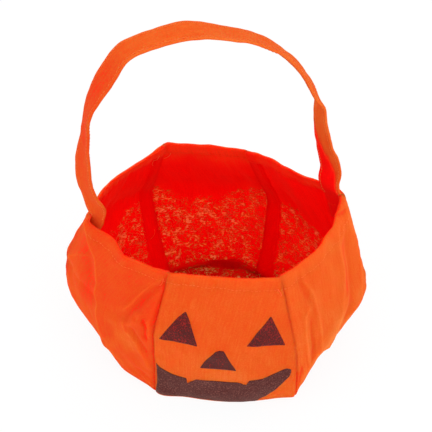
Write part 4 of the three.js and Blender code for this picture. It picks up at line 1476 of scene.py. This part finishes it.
@dataclass
class BagWall:
    """The six wall panels, sewn together."""

    form: BagForm
    cloth: Material
    panels: list[WallPanel] = field(default_factory=list)

    def __post_init__(self) -> None:
        """Cuts the panels."""
        seams = (FRONT_LEFT_SEAM, FRONT_RIGHT_SEAM, *[PLAIN_SEAM] * 4)
        # Per panel, the outer tone is deeper on the panels turned from the light, and the back panels' hem tones and
        # fibre tops follow where light falls inside: painted light and shade.
        cuts = (
            dict(name="front_panel", folds=FRONT_FOLDS, outer_tone_and_shade=0.5, slump=0.35),
            dict(name="front_right_panel", folds=FRONT_RIGHT_FOLDS, left_laid=True, right_laid=True, outer_tone_and_shade=0.52),
            dict(
                name="back_right_panel", folds=SIDE_FOLDS, right_laid=True, outer_tone_and_shade=0.48,
                hem_tone_and_light=0.15, hem_fade=4.0,
                lit_nap_top=((0.0, 84.0), (0.53, 80.0), (0.67, 83.0), (0.81, 86.0), (1.0, 88.0)),
            ),
            dict(
                name="back_panel", folds=BACK_FOLDS, outer_tone_and_shade=0.48, hem_tone_and_light=0.2, inner_painted_shade=0.07,
                lit_nap_top=(
                    (0.0, 94.0), (0.25, 86.0), (0.33, 80.0), (0.48, 71.0), (0.59, 68.0), (0.7, 65.0), (0.84, 83.0),
                    (1.0, 92.0),
                ),
            ),
            dict(
                name="back_left_panel", folds=SIDE_FOLDS, left_laid=True, right_laid=True, outer_tone_and_shade=0.44,
                hem_tone_and_light=0.19, hem_fade=1.0,
                lit_nap_top=((0.0, 84.0), (0.12, 78.0), (0.34, 64.0), (0.5, 60.0), (1.0, 60.0)),
            ),
            dict(name="front_left_panel", folds=FRONT_LEFT_FOLDS, right_laid=True, outer_tone_and_shade=0.4),
        )
        for index, cut in enumerate(cuts):
            pair = (seams[index], seams[(index + 1) % CORNERS])
            self.panels.append(WallPanel(form=self.form, index=index, seams=pair, **cut))

    def build(self) -> list[Piece]:
        """Makes all six panels."""
        return [panel.build(self.cloth) for panel in self.panels]


@dataclass
class FacePrint:
    """One printed shape of the face, by upright lines from its left to its right.

    Each line has its place across, its lower and its upper height, and, if it leans, where its top is.
    """

    name: str
    soak: float
    lines: tuple[Steps, ...]
    lift: float = 0.26
    sink: float = 0.08
    step: float = 1.2

    def columns(self) -> Array:
        """The lines with more of them between, as lower and upper ends.

        Returns:
            For each line its lower and upper end, across and up.
        """
        ends = np.array([(x, low, top[0] if top else x, high) for x, low, high, *top in self.lines], float)
        gaps = np.abs(np.diff(ends, axis=0)).max(axis=1)
        places = [0.0]
        for index, gap in enumerate(gaps):
            count = max(1, math.ceil(gap / self.step))
            places.extend(index + (step + 1) / count for step in range(count))
        return read_rows(places, np.arange(len(ends)), ends).reshape(-1, 2, 2)

    def build(self, panel: WallPanel, ink: Material) -> Piece:
        """Lays the print on the front panel's dressed cloth.

        Args:
            panel: The front panel.
            ink: The print's material.

        Returns:
            The print's object.
        """
        low, high = self.columns().swapaxes(0, 1)
        rows = np.linspace(0.0, 1.0, max(4, math.ceil(float(np.abs(high - low).max()) / self.step)))
        place = low[None] + (high - low)[None] * rows[:, None, None]
        up = place[..., 1]
        across = place[..., 0] + panel.width_at(up) / 2.0
        outer, inner = (panel.surface(across, up, np.full(up.shape, -height)) for height in (self.lift, self.sink))
        points = np.concatenate([outer.reshape(-1, 3), inner.reshape(-1, 3)])
        mesh = solid_mesh(f"{self.name}_ink", points, shell_quads(*up.shape))
        paint(mesh, "soak", np.full(len(mesh.vertices), self.soak))
        made = dress(mesh, ink, "print_ink", self.name)
        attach(made, "bag")
        return made


@dataclass
class PrintedFace:
    """The traditional face: two slanted triangles, a round-topped nose and a wide mouth."""

    prints: tuple[FacePrint, ...] = (
        FacePrint("face_print_left_eye", 0.74, (
            (-52.9, 80.6, 81.4, -52.7), (-47, 81.5, 92.6), (-41.5, 82, 102.8), (-36, 82.2, 111.6),
            (-31.1, 82.4, 118.6, -30.9), (-30.2, 82.4, 118.6, -30), (-27.3, 82.5, 107.5), (-25.7, 82.6, 97.1),
            (-22.8, 82.6, 84, -22.7),
        )),
        FacePrint("face_print_right_eye", 0.74, (
            (17, 91.4, 92.2, 17.2), (25.7, 92, 107), (31.9, 92.1, 116.2), (35.2, 92.1, 121.8),
            (36, 92.1, 121.6), (39, 92.1, 114.2), (43.4, 92.1, 104.3), (46.3, 92.1, 97.8),
            (48.4, 91.9, 93, 48.3),
        )),
        FacePrint("face_print_nose", 0.62, (
            (-21, 54.6, 55.4, -20.8), (-17.5, 55.4, 63.5), (-14.8, 55.8, 68.7), (-11.5, 56.4, 75),
            (-8.2, 57, 80.2), (-5, 57.4, 82.8), (-1.6, 57.6, 83.6), (0, 57.8, 81, -0.2), (2.4, 58, 73),
            (4.7, 58.1, 66.7), (8.4, 58, 58.8, 8.3),
        )),
        FacePrint("face_print_mouth", 0.38, (
            (-57.8, 3, 45), (-54.7, 3, 40.8), (-44.5, 3, 37.8), (-32.9, 3, 36.2), (-32.1, 3, 29),
            (-27.7, 3, 33.4), (-24.7, 3, 36.3), (-18, 3, 37.3), (-4.8, 3, 38.4), (9.6, 3, 41.3), (12.6, 3, 41),
            (14.6, 3, 39.7), (17, 3, 39.8), (19.2, 3, 45.8), (26.6, 3, 47.6), (29.9, 11, 48.8),
            (37.5, 24.4, 53.5), (45.2, 37.3, 58.6), (50.5, 46.2, 61.6), (52.8, 50.5, 61), (54.1, 56.6, 60),
        )),
    )

    def build(self, panel: WallPanel, ink: Material) -> list[Piece]:
        """Lays all four prints on the front panel."""
        return [one.build(panel, ink) for one in self.prints]


@dataclass
class BasePanel:
    """The base: a flat cloth whose allowance is turned up inside the wall, as one closed tray.

    The upturned edge is at its full height over the hump, which is where it shows through the mouth.
    """

    form: BagForm
    allowance: float = 7.0
    outside: float = 3 * CLOTH + 0.3
    steps_per_panel: int = 56
    up_shares: Steps = (0.0, 0.3, 0.65, 0.95, 1.0)
    down_shares: Steps = (0.97, 0.8, 0.6, 0.42)
    foot: float = 2.6
    floor_rings: int = 46
    under_rings: int = 12
    floor_rise: float = 0.25
    floor_play: float = 0.4
    floor_crease: float = 0.3
    edge_waver: float = 0.7
    edge_tone: float = 0.06
    tone: float = 0.1
    hump_place: float = 9.0
    hump_half: float = 29.0

    def ring(self, depth: float, up: Array) -> Array:
        """Points right round the inside of the wall, at a depth and at heights up the cloth.

        Args:
            depth: Millimetres in from the wall's outer face.
            up: Millimetres up the cloth, one for each place round.

        Returns:
            The ring's points.
        """
        share = np.arange(self.steps_per_panel) / self.steps_per_panel
        deep, parts = np.full(share.shape, depth), enumerate(np.split(up, CORNERS))
        rounds = [self.form.resting(panel, share, self.form.level(part), deep) for panel, part in parts]
        return np.concatenate(rounds)

    def edge(self) -> tuple[Array, Array]:
        """The upturned edge's height right round, and how far each place is on the hump, from 0 to 1.

        Returns:
            Millimetres up the cloth, and the hump.
        """
        around = CORNERS * self.steps_per_panel
        place = np.arange(around) * 2.0 * math.pi / around
        waver = self.edge_waver * Waves.TRAY_EDGE.at(120 * np.cos(place), 120 * np.sin(place))
        wall = self.ring(self.outside, np.full(around, 4.0))
        hump = np.exp(-(((wall[:, 0] - self.hump_place) / self.hump_half) ** 4))
        hump = np.where(wall[:, 1] > 30.0, hump, 1.0)
        return self.allowance * (0.3 + 0.7 * hump) + waver, hump

    def floor(self, foot: Array) -> list[Array]:
        """Rings of the floor, from the edge's foot to the middle.

        Args:
            foot: The ring at the edge's foot.

        Returns:
            The rings, the last of them all at the middle.
        """
        middle = np.array([0.0, 0.0, CLOTH])
        rings = []
        for share in np.linspace(0.985, 0.0, self.floor_rings):
            flat = middle + (foot - middle) * share
            crease = self.floor_crease * Waves.FLOOR_CREASE.at(flat[:, 0], flat[:, 1]) * min(1.0, 4 * share)
            flat[:, 2] = CLOTH + self.floor_rise + crease
            flat[:, 2] += 0.8 * np.exp(-(1 - share) / 0.02)
            rings.append(flat)
        return rings

    def napped_sheet(self, tray: Piece) -> Mesh:
        """A copy of the tray's mesh on which fibres are laid, bare at its foot and on its upturned edge.

        Args:
            tray: The base panel's object.

        Returns:
            The mesh to grow on.
        """
        sheet = tray.data.copy()
        sheet.materials.clear()
        places, nap = np.empty(len(sheet.vertices) * 3), np.empty(len(sheet.vertices))
        sheet.vertices.foreach_get("co", places)
        sheet.attributes["nap"].data.foreach_get("value", nap)
        nap *= np.abs(places[2::3] / MM - CLOTH - self.floor_rise) < self.floor_play
        sheet.attributes["nap"].data.foreach_set("value", nap)
        return sheet

    def build(self, material: Material) -> Piece:
        """Makes the tray and dresses it.

        Args:
            material: The base cloth.

        Returns:
            The base panel's object.
        """
        top, hump = self.edge()
        deep = self.outside + CLOTH
        sides = [self.ring(self.outside, top * share) for share in self.up_shares]
        sides += [self.ring(self.outside + 0.5, top + 0.12), self.ring(deep - 0.4, top + 0.1)]
        sides += [self.ring(deep, top * share) for share in self.down_shares]
        sides.append(self.ring(deep, np.full(top.shape, self.foot)))
        under = sides[0].copy()
        under[:, 2] = 0.0
        below = [under * share for share in np.linspace(0.0, 0.96, self.under_rings)]
        loops = [*below, *sides, *self.floor(sides[-1])]
        points = np.concatenate(loops)
        mesh = solid_mesh("base_panel_cloth", points, tube_quads(len(loops), len(top)))
        number = np.arange(len(loops))[:, None]
        inner, floor = len(below) + len(self.up_shares) + 1, len(below) + len(sides) + 1
        nap = np.where(number >= floor, 1.0, (1.0 - hump) * (number >= inner))
        # The tray's deep reds are painted shade, as on the wall's inside.
        paint(mesh, "tone", self.edge_tone + (self.tone - self.edge_tone) * nap)
        paint(mesh, "nap", nap)
        lay_map(mesh, points[:, 0], points[:, 1])
        made = dress(mesh, material, "base_cloth", "base_panel")
        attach(made, "bag")
        return made


@dataclass
class Strap:
    """The one strap: sewn inside the rim at both sides, folded over and arched above the mouth.

    Arch and twist run from the left fold to the right one, by shares of the way between them. Gathers are
    how much narrower its two roots are, and leans how far each is drawn to one side. Tones along the arch are
    partly painted light, and the shade line gives, by shares of the arch, how far across its inner face the deep
    red of painted shade reaches.
    """

    form: BagForm
    width: float = 20.0
    thickness: float = 2.6
    squareness: Pair = (0.55, 0.42)
    cup: float = 1.1
    cup_wave: float = 40.0
    crease: float = 0.16
    edge_waver: float = 0.35
    groove: float = 0.18
    groove_reach: float = 0.5
    edge_wear_and_highlight: float = 0.08
    tail: float = 26.0
    tail_depth: float = 2 * CLOTH + 0.6 + 1.5
    tail_rows: int = 18
    step: float = 1.6
    arch_steps: int = 40
    sides: int = 44
    stitch_place: float = 7.9
    box: Pair = (2.2, 14.5)
    gathers: Pair = (0.36, 0.0)
    leans: Pair = (3.6, -3.2)
    gather_reach: float = 13.0
    bend_below: float = 7.0
    bend_above: float = 13.0
    # Tones along the arch, partly painted light: lighter over the lit top, deeper down the left leg.
    tones: Line = (
        (0.0, 0.43), (0.12, 0.41), (0.2, 0.36), (0.3, 0.37), (0.42, 0.52), (0.8, 0.52), (0.88, 0.48),
        (1.0, 0.44),
    )
    # Painted shade on the right leg: by shares of the arch, how far across its inner face the deep red reaches.
    painted_shade: Line = ((0.8, -12.0), (0.86, -4.0), (0.91, 1.5), (0.96, 6.5), (1.0, 8.0))
    arch: Line = (
        (-0.042, 30.9), (-0.04, 52.0), (-0.016, 77.6), (0.0134, 103.7), (0.107, 132.4), (0.16, 145.3),
        (0.22, 150.4), (0.386, 156.0), (0.504, 151.8), (0.643, 143.1), (0.747, 129.7), (0.826, 112.8),
        (0.885, 93.5), (0.92, 81.7), (0.925, 71.8), (0.953, 45.5), (1.008, 10.0),
    )
    twist: Line = (
        (0, 60), (0.06, 36), (0.12, 28.3), (0.19, 9.6), (0.24, 1.2), (0.33, 17.5), (0.4, 3.5), (0.48, 3.9),
        (0.55, -5.6), (0.65, -7.9), (0.76, 6), (0.85, -14.8), (0.9, -25), (0.93, -35.2), (1, -42),
    )

    def __post_init__(self) -> None:
        """Finds the two folds and the line between them."""
        self.ends = [self.form.fold_point(seat, self.tail_depth) for seat in self.form.seats]
        fold_line = unit(self.ends[1] - self.ends[0])
        self.frontward = np.array([fold_line[1], -fold_line[0], 0.0])
        self.line, self.ways, self.faces = self.stations()
        self.run = np.arange(len(self.line)) * self.step

    def arch_points(self) -> Array:
        """Many points along the smooth arch from fold to fold.

        Returns:
            The points, from the left fold to the right one.
        """
        start, end = self.ends
        nodes = [start + (end - start) * share + np.array([0.0, 0.0, up]) for share, up in self.arch]
        nodes = [start, *nodes, end]
        nodes = [2 * nodes[0] - nodes[1], *nodes, 2 * nodes[-1] - nodes[-2]]
        found = []
        for p0, p1, p2, p3 in zip(nodes, nodes[1:], nodes[2:], nodes[3:]):
            gaps = [math.sqrt(float(np.linalg.norm(gap))) for gap in (p1 - p0, p2 - p1, p3 - p2)]
            t0, (t1, t2, t3) = 0.0, np.cumsum(gaps)
            at = np.linspace(t1, t2, self.arch_steps, endpoint=False)[:, None]
            first, second = between(t0, t1, p0, p1, at), between(t1, t2, p1, p2, at)
            third = between(t2, t3, p2, p3, at)
            low, high = between(t0, t2, first, second, at), between(t1, t3, second, third, at)
            found.append(between(t1, t2, low, high, at))
        return np.concatenate([*found, end[None]])

    def tail_points(self, seat: Seat) -> tuple[Array, Array]:
        """A sewn-down end's middle line, from its bottom up, and the way across it.

        Args:
            seat: Where the end is sewn in.

        Returns:
            The line's points, and one vector.
        """
        drops = np.linspace(self.tail, 1.0, self.tail_rows)
        share = self.form.seat_share(seat)
        level = self.form.level(self.form.length - drops)
        line = self.form.point(seat.panel, share, level, self.tail_depth)
        outward = self.form.outward(seat.panel, np.ones(1))[0]
        return line, np.array([-outward[1], outward[0], 0.0])

    def stations(self) -> tuple[Array, Array, Array]:
        """The strap's middle line, its way across and its face's way, evenly spaced from end to end.

        Returns:
            The points, and two vectors for each.
        """
        arch = self.arch_points()
        share = lengths_along(arch)
        twist = np.radians(read_eased(self.twist, share / share[-1]))
        sideways = np.cross(unit(np.gradient(arch, axis=0)), self.frontward)
        across = self.frontward * np.cos(twist)[:, None] + sideways * np.sin(twist)[:, None]
        (left, left_way), (right, right_way) = (self.tail_points(seat) for seat in self.form.seats)
        left_way = left_way * np.sign(left_way @ across[0])
        right_way = right_way * np.sign(right_way @ across[-1])
        line = np.concatenate([left, arch, right[::-1]])
        ways = np.concatenate([np.tile(left_way, (len(left), 1)), across, np.tile(right_way, (len(right), 1))])
        run = lengths_along(line)
        even = np.linspace(0.0, run[-1], round(run[-1] / self.step))
        line, ways = read_rows(even, run, line), read_rows(even, run, ways)
        for rows in (line, ways):
            for _ in range(3):
                rows[1:-1] = (rows[:-2] + 2 * rows[1:-1] + rows[2:]) / 4
        tangent = unit(np.gradient(line, axis=0))
        ways = unit(ways - tangent * (ways * tangent).sum(1, keepdims=True))
        return line, ways, np.cross(tangent, ways)

    def section(self) -> tuple[Array, Array]:
        """The closed outline of the strap's section, across its width and through its thickness.

        Returns:
            Millimetres across and millimetres through.
        """
        angle = np.linspace(0, 2 * math.pi, self.sides, endpoint=False)
        sizes = zip((np.cos(angle), np.sin(angle)), self.squareness, (self.width / 2, self.thickness / 2))
        across, through = (np.sign(wave) * np.abs(wave) ** power * half for wave, power, half in sizes)
        return across, through

    def skin(self, along: Array, place: Array, through: Array) -> Array:
        """Points of the strap's cloth.

        Args:
            along: Millimetres from its left end.
            place: Millimetres across from its middle.
            through: Millimetres through from its middle, above zero on its first face.

        Returns:
            Points, with one more axis than along.
        """
        line, ways, faces = (read_rows(along, self.run, rows) for rows in (self.line, self.ways, self.faces))
        waver = self.edge_waver * Waves.STRAP_EDGE.at(along, np.zeros(along.shape))
        cup = self.cup * (0.6 + 0.4 * np.sin(along / self.cup_wave))
        height = through - cup * ((place / (self.width / 2)) ** 2 - 0.4)
        height += self.crease * Waves.STRAP_CREASE.at(along, place)
        groove = np.exp(-(((np.abs(place) - self.stitch_place) / self.groove_reach) ** 2))
        height -= self.groove * np.sign(through) * groove
        height *= smoothstep(0.0, 2.0, np.minimum(along, self.run[-1] - along)) * 0.5 + 0.5
        from_ends = np.maximum(0.0, np.stack([along, self.run[-1] - along], axis=-1) - self.tail)
        fading = np.exp(-((from_ends / self.gather_reach) ** 2))
        wide = place * (1.0 + waver / self.width) * (1.0 - (fading * self.gathers).sum(axis=-1))
        wide -= (fading * self.leans).sum(axis=-1) * np.sign(self.ways[0] @ self.frontward)
        return line + ways * wide[..., None] + faces * height[..., None]

    def sewn(self, along: Array, place: Array, side: float) -> tuple[Array, Array]:
        """A line on one face of the strap, with the ways out of the cloth."""
        face = read_rows(along, self.run, self.faces)
        return self.skin(along, place, np.full(along.shape, side * self.thickness / 2)), face * side

    def stitch_lines(self) -> list[tuple[Array, Array]]:
        """The rows of stitches along both edges of both faces, between the sewn-down ends."""
        along, edge = np.linspace(self.tail + 2.0, self.run[-1] - self.tail - 2.0, 500), self.stitch_place
        return [self.sewn(along, np.full(500, place), side) for side in (1.0, -1.0) for place in (edge, -edge)]

    def end_lines(self) -> list[tuple[Array, Array]]:
        """A box of stitches on each sewn-down end, on the face that looks into the bag.

        Returns:
            For each line its points and the ways out of the cloth.
        """
        lines = []
        up, across = np.linspace(*self.box, 40), np.linspace(-self.stitch_place, self.stitch_place, 40)
        rows = [(up, np.full(40, place)) for place in (self.stitch_place, -self.stitch_place)]
        rows += [(np.full(40, place), across) for place in self.box]
        for seat, last in zip(self.form.seats, (False, True)):
            outward = self.form.outward(seat.panel, np.ones(1))[0]
            side = -float(np.sign(self.faces[-1 if last else 0] @ outward))
            lines += [self.sewn(self.run[-1] - along if last else along, place, side) for along, place in rows]
        return lines

    def build(self, material: Material) -> Piece:
        """Makes the strap's closed mesh and dresses it.

        Args:
            material: The strap cloth.

        Returns:
            The strap's object.
        """
        across, through = self.section()
        along, place = np.meshgrid(self.run, across, indexing="ij")
        points = self.skin(along, place, np.broadcast_to(through, place.shape)).reshape(-1, 3)
        rung = np.arange(self.sides // 2 - 1)
        cap = quads_of(rung, rung + 1, self.sides - 2 - rung, self.sides - 1 - rung)
        last = (len(self.line) - 1) * self.sides
        quads = np.concatenate([tube_quads(len(self.line), self.sides), cap[:, ::-1], cap + last])
        mesh = solid_mesh("strap", points, quads)
        share = (along - self.tail) / (self.run[-1] - 2 * self.tail)
        # Painted light along the arch, from the tones above.
        tone = read_eased(self.tones, np.clip(share, 0.0, 1.0))
        # Lighter towards both edges: partly wear, partly a painted highlight where the cupped edges turn to the
        # light.
        tone += self.edge_wear_and_highlight * (np.abs(place) / (self.width / 2)) ** 4
        # Painted shade: deep red across the right leg's inner face, on its first face only.
        painted_shade = smoothstep(3.0, -3.0, place - read_pairs(self.painted_shade, share))
        painted_shade *= smoothstep(self.painted_shade[0][0], self.painted_shade[1][0], share) * (through > 0.0)
        paint(mesh, "tone", tone * (1.0 - painted_shade))
        paint(mesh, "nap", np.zeros(along.shape))
        lay_map(mesh, place, along)
        made = dress(mesh, material, "strap_cloth", "handle_strap", "strap_tail_left", "strap_tail_right")
        self.bend(made)
        return made

    def bend(self, made: Piece) -> None:
        """Works out a span from just under the strap's folds to just over them, which nothing uses, and bakes the
        piece's place into its mesh.

        Args:
            made: The piece.
        """
        start = (self.ends[0] + self.ends[1]) / 2
        end = start.copy()
        start[2], end[2] = self.ends[0][2] - self.bend_below, self.ends[0][2] + self.bend_above
        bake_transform(made)


@dataclass
class Trimmings:
    """What is sewn or hangs on the cloth: stitches, the nap's fibres and a few loose threads."""

    wall: BagWall
    base_sheet: Mesh
    strap: Strap
    pitch: float = 3.0
    stitch_length: float = 2.3
    stitch_radius: float = 0.19
    stitch_rise: float = 0.1
    stitch_sink: float = 0.3
    stitch_slant: float = 0.09
    fibre_length: float = 4.0
    fibre_radius: float = 0.15
    fibre_rise: float = 0.5
    fibres_per_square: float = 0.09
    thread_radius: float = 0.22
    loose: tuple[tuple[int, Side, Pair, Pair, float], ...] = (
        (4, Side.INSIDE, (0.06, 151.0), (0.1, 139.0), 2.2), (4, Side.INSIDE, (0.04, 44.0), (0.1, 37.0), -2.0),
        (4, Side.INSIDE, (0.36, 58.0), (0.43, 50.0), 1.6), (3, Side.INSIDE, (0.9, 146.0), (0.97, 139.0), -1.4),
        (5, Side.OUTSIDE, (0.975, 153.0), (0.955, 141.0), 1.0),
        (0, Side.OUTSIDE, (0.95, 151.0), (0.96, 144.0), 0.5),
    )

    def stitches(self, outside: Material, inside: Material) -> list[Piece]:
        """Sews the hem on both sides, and the strap.

        Args:
            outside: The thread that shows on the outside and on the strap.
            inside: The thread that shows on the inside.

        Returns:
            One object for each run of stitches.
        """
        tree = StitchTree()
        sizes = {
            "Pitch": self.pitch * MM, "Length": self.stitch_length * MM, "Radius": self.stitch_radius * MM,
            "Rise": self.stitch_rise * MM, "Sink": self.stitch_sink * MM, "Slant": self.stitch_slant,
        }
        made = []
        for side, thread in ((Side.OUTSIDE, outside), (Side.INSIDE, inside)):
            lines = line_mesh(f"hem_lines_{side.value}", [panel.hem_line(side) for panel in self.wall.panels])
            made.append(tree.grow(f"hem_stitches_{side.value}", lines, {**sizes, "Material": thread}))
            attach(made[-1], "bag")
        sewn = (("strap", self.strap.stitch_lines(), outside), ("strap_end", self.strap.end_lines(), inside))
        for name, lines, thread in sewn:
            rows = line_mesh(f"{name}_lines", lines)
            made.append(tree.grow(f"{name}_stitches", rows, {**sizes, "Material": thread}))
            self.strap.bend(made[-1])
        return made

    def fibres(self, fibre: Material) -> list[Piece]:
        """Lays fibres over the napped inside of every panel and over the floor.

        Args:
            fibre: The fibres' material.

        Returns:
            One object for each napped piece of cloth.
        """
        tree = FibreTree()
        values = {
            "Length": self.fibre_length * MM, "Radius": self.fibre_radius * MM, "Rise": self.fibre_rise * MM,
            "Density": self.fibres_per_square / MM**2, "Material": fibre,
        }
        sheets = [("base_fibres", self.base_sheet)]
        sheets += [(f"{panel.name}_fibres", panel.napped_sheet()) for panel in self.wall.panels]
        made = [tree.grow(name, sheet, values) for name, sheet in sheets]
        for one in made:
            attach(one, "bag")
        return made

    def loose_threads(self, thread: Material) -> Piece:
        """A few pale threads that have come loose at the seams.

        Args:
            thread: The threads' material.

        Returns:
            The threads' object.
        """
        lines = []
        share = np.linspace(0.0, 1.0, 16)
        for number, side, start, end, bend in self.loose:
            panel = self.wall.panels[number]
            up = start[1] + (end[1] - start[1]) * share
            curl = np.sin(math.pi * share)
            across = (start[0] + (end[0] - start[0]) * share) * panel.width_at(up) + bend * curl
            proud = 0.15 + 0.7 * curl
            depth = panel.layers(across, up) + proud if side is Side.INSIDE else -proud
            line = panel.surface(across, up, depth)
            lines.append((line, np.zeros(line.shape)))
        values = {"Radius": self.thread_radius * MM, "Material": thread}
        made = LooseThreadTree().grow("loose_threads", line_mesh("loose_lines", lines), values)
        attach(made, "bag")
        return made


@dataclass(frozen=True)
class Lamp:
    """One soft square lamp: its name, its place and side in metres, and its power in watts."""

    name: str
    place: tuple[float, float, float]
    size: float
    power: float


@dataclass(frozen=True)
class Studio:
    """The white floor, the soft lights and the camera at the photograph's place."""

    azimuth: float = -2.0
    elevation: float = 46.5
    distance: float = 630.0
    target: tuple[float, float, float] = (0.0, 14.0, 135.0)
    focal_pixels: float = 770.0
    image_pixels: float = 432.0
    sensor_width: float = 36.0
    world_strength: float = 1.07
    lamps: tuple[Lamp, ...] = (
        Lamp("key_light", (0.6, -0.8, 1.4), 1.0, 5.9), Lamp("fill_light", (-1.1, -0.6, 0.9), 1.2, 2.0),
    )
    lamp_target: tuple[float, float, float] = (0.0, 0.0, 0.12)
    floor_half: float = 2500.0
    floor_glow: float = 0.9

    def set_down(self, made: Piece, place: Array, back: Array, right: Array) -> None:
        """Places a camera or lamp, with its back and its right side the given ways.

        Args:
            made: The camera or lamp.
            place: Its place, in metres.
            back: The way its back faces.
            right: The way its right side faces.
        """
        matrix = np.eye(4)
        matrix[:3] = np.stack([right, np.cross(back, right), back, place], axis=1)
        made.matrix_world = Matrix(matrix.tolist())

    def camera(self) -> None:
        """Creates the camera and makes it the scene's."""
        turn, rise = math.radians(self.azimuth), math.radians(self.elevation)
        back = np.array([math.sin(turn) * math.cos(rise), -math.cos(turn) * math.cos(rise), math.sin(rise)])
        right = np.array([math.cos(turn), math.sin(turn), 0.0])
        data = bpy.data.cameras.new("camera")
        data.sensor_width = self.sensor_width
        data.lens = self.focal_pixels / self.image_pixels * data.sensor_width
        data.clip_start, data.clip_end = 0.01, 50.0
        made = add_object("camera", data)
        self.set_down(made, (np.array(self.target) + back * self.distance) * MM, back, right)
        bpy.context.scene.camera = made

    def light(self, lamp: Lamp) -> None:
        """Adds one soft square light that faces the bag.

        Args:
            lamp: The lamp.
        """
        data = bpy.data.lights.new(lamp.name, "AREA")
        data.size, data.energy = lamp.size, lamp.power
        back = unit(np.array(lamp.place) - np.array(self.lamp_target))
        right = unit(np.cross(np.array([0.0, 0.0, 1.0]), back))
        self.set_down(add_object(lamp.name, data), np.array(lamp.place), back, right)

    def world(self) -> None:
        """A white surround, which the camera sees as plain white."""
        world = bpy.data.worlds.new("surround")
        world.use_nodes = True
        bpy.context.scene.world = world
        wiring = Wiring(world.node_tree)
        soft, plain = (
            wiring.out("ShaderNodeBackground", {"Color": WHITE, "Strength": strength})
            for strength in (self.world_strength, 1.0)
        )
        mixed = wiring.out("ShaderNodeMixShader", {0: self.seen_directly(wiring), 1: soft, 2: plain})
        wiring.add("ShaderNodeOutputWorld", {"Surface": mixed})

    def seen_directly(self, wiring: Wiring) -> Socket:
        """One for the rays that show the white itself: camera, glossy and transmission rays.

        Args:
            wiring: The tree that needs it.

        Returns:
            The number, 0 or 1.
        """
        path = wiring.add("ShaderNodeLightPath")
        names = ("Is Camera Ray", "Is Glossy Ray", "Is Transmission Ray")
        total = wiring.sum(*(path.outputs[name] for name in names))
        return wiring.out("ShaderNodeMath", {0: total, 1: 1.0}, operation="MINIMUM")

    def floor(self) -> None:
        """A white floor that keeps a faint shadow."""
        corners = np.array([[-1, -1, 0], [1, -1, 0], [1, 1, 0], [-1, 1, 0]]) * self.floor_half
        mesh = solid_mesh("floor", corners, np.array([[0, 1, 2, 3]]))
        made, wiring = new_finish("white_floor")
        paper = wiring.out("ShaderNodeBsdfDiffuse", {"Color": (0.93, 0.93, 0.93, 1.0)})
        glow = wiring.out("ShaderNodeEmission", {"Color": WHITE, "Strength": 1.0})
        share = wiring.product(self.seen_directly(wiring), self.floor_glow)
        wiring.end("ShaderNodeMixShader", {0: share, 1: paper, 2: glow})
        mesh.materials.append(made)
        add_object("floor", mesh)

    def build(self) -> None:
        """Sets up the whole studio."""
        self.camera()
        self.world()
        self.floor()
        for lamp in self.lamps:
            self.light(lamp)
        bpy.context.scene.view_settings.view_transform = "Standard"


def main() -> None:
    """Builds the bag, piece by piece, and its studio."""
    logging.basicConfig(level=logging.INFO, format="%(message)s")
    Studio().build()
    form = BagForm()
    wall_cloth = BrushedCloth("wall_cloth").material()
    base_cloth = BrushedCloth("base_cloth", bump=0.3).material()
    strap_cloth = BrushedCloth("strap_cloth", glow=0.25).material()
    wall = BagWall(form, wall_cloth)
    pieces = wall.build() + PrintedFace().build(wall.panels[0], SoakedInk().material())
    base, strap = BasePanel(form), Strap(form)
    tray = base.build(base_cloth)
    trimmings = Trimmings(wall, base.napped_sheet(tray), strap)
    pieces += [tray, strap.build(strap_cloth)]
    outside = Thread("hem_thread", (226, 96, 40), (240, 128, 74)).material()
    inside = Thread("inside_thread", (240, 36, 16), (250, 60, 28)).material()
    fluff = Thread("loose_fibre", (255, 76, 30), (255, 120, 60), clear=0.75).material()
    pieces += [*trimmings.stitches(outside, inside), *trimmings.fibres(fluff), trimmings.loose_threads(fluff)]
    for piece in pieces:
        log.info("made %s: %d faces", piece.name, len(piece.data.polygons))


if __name__ == "__main__":
    main()
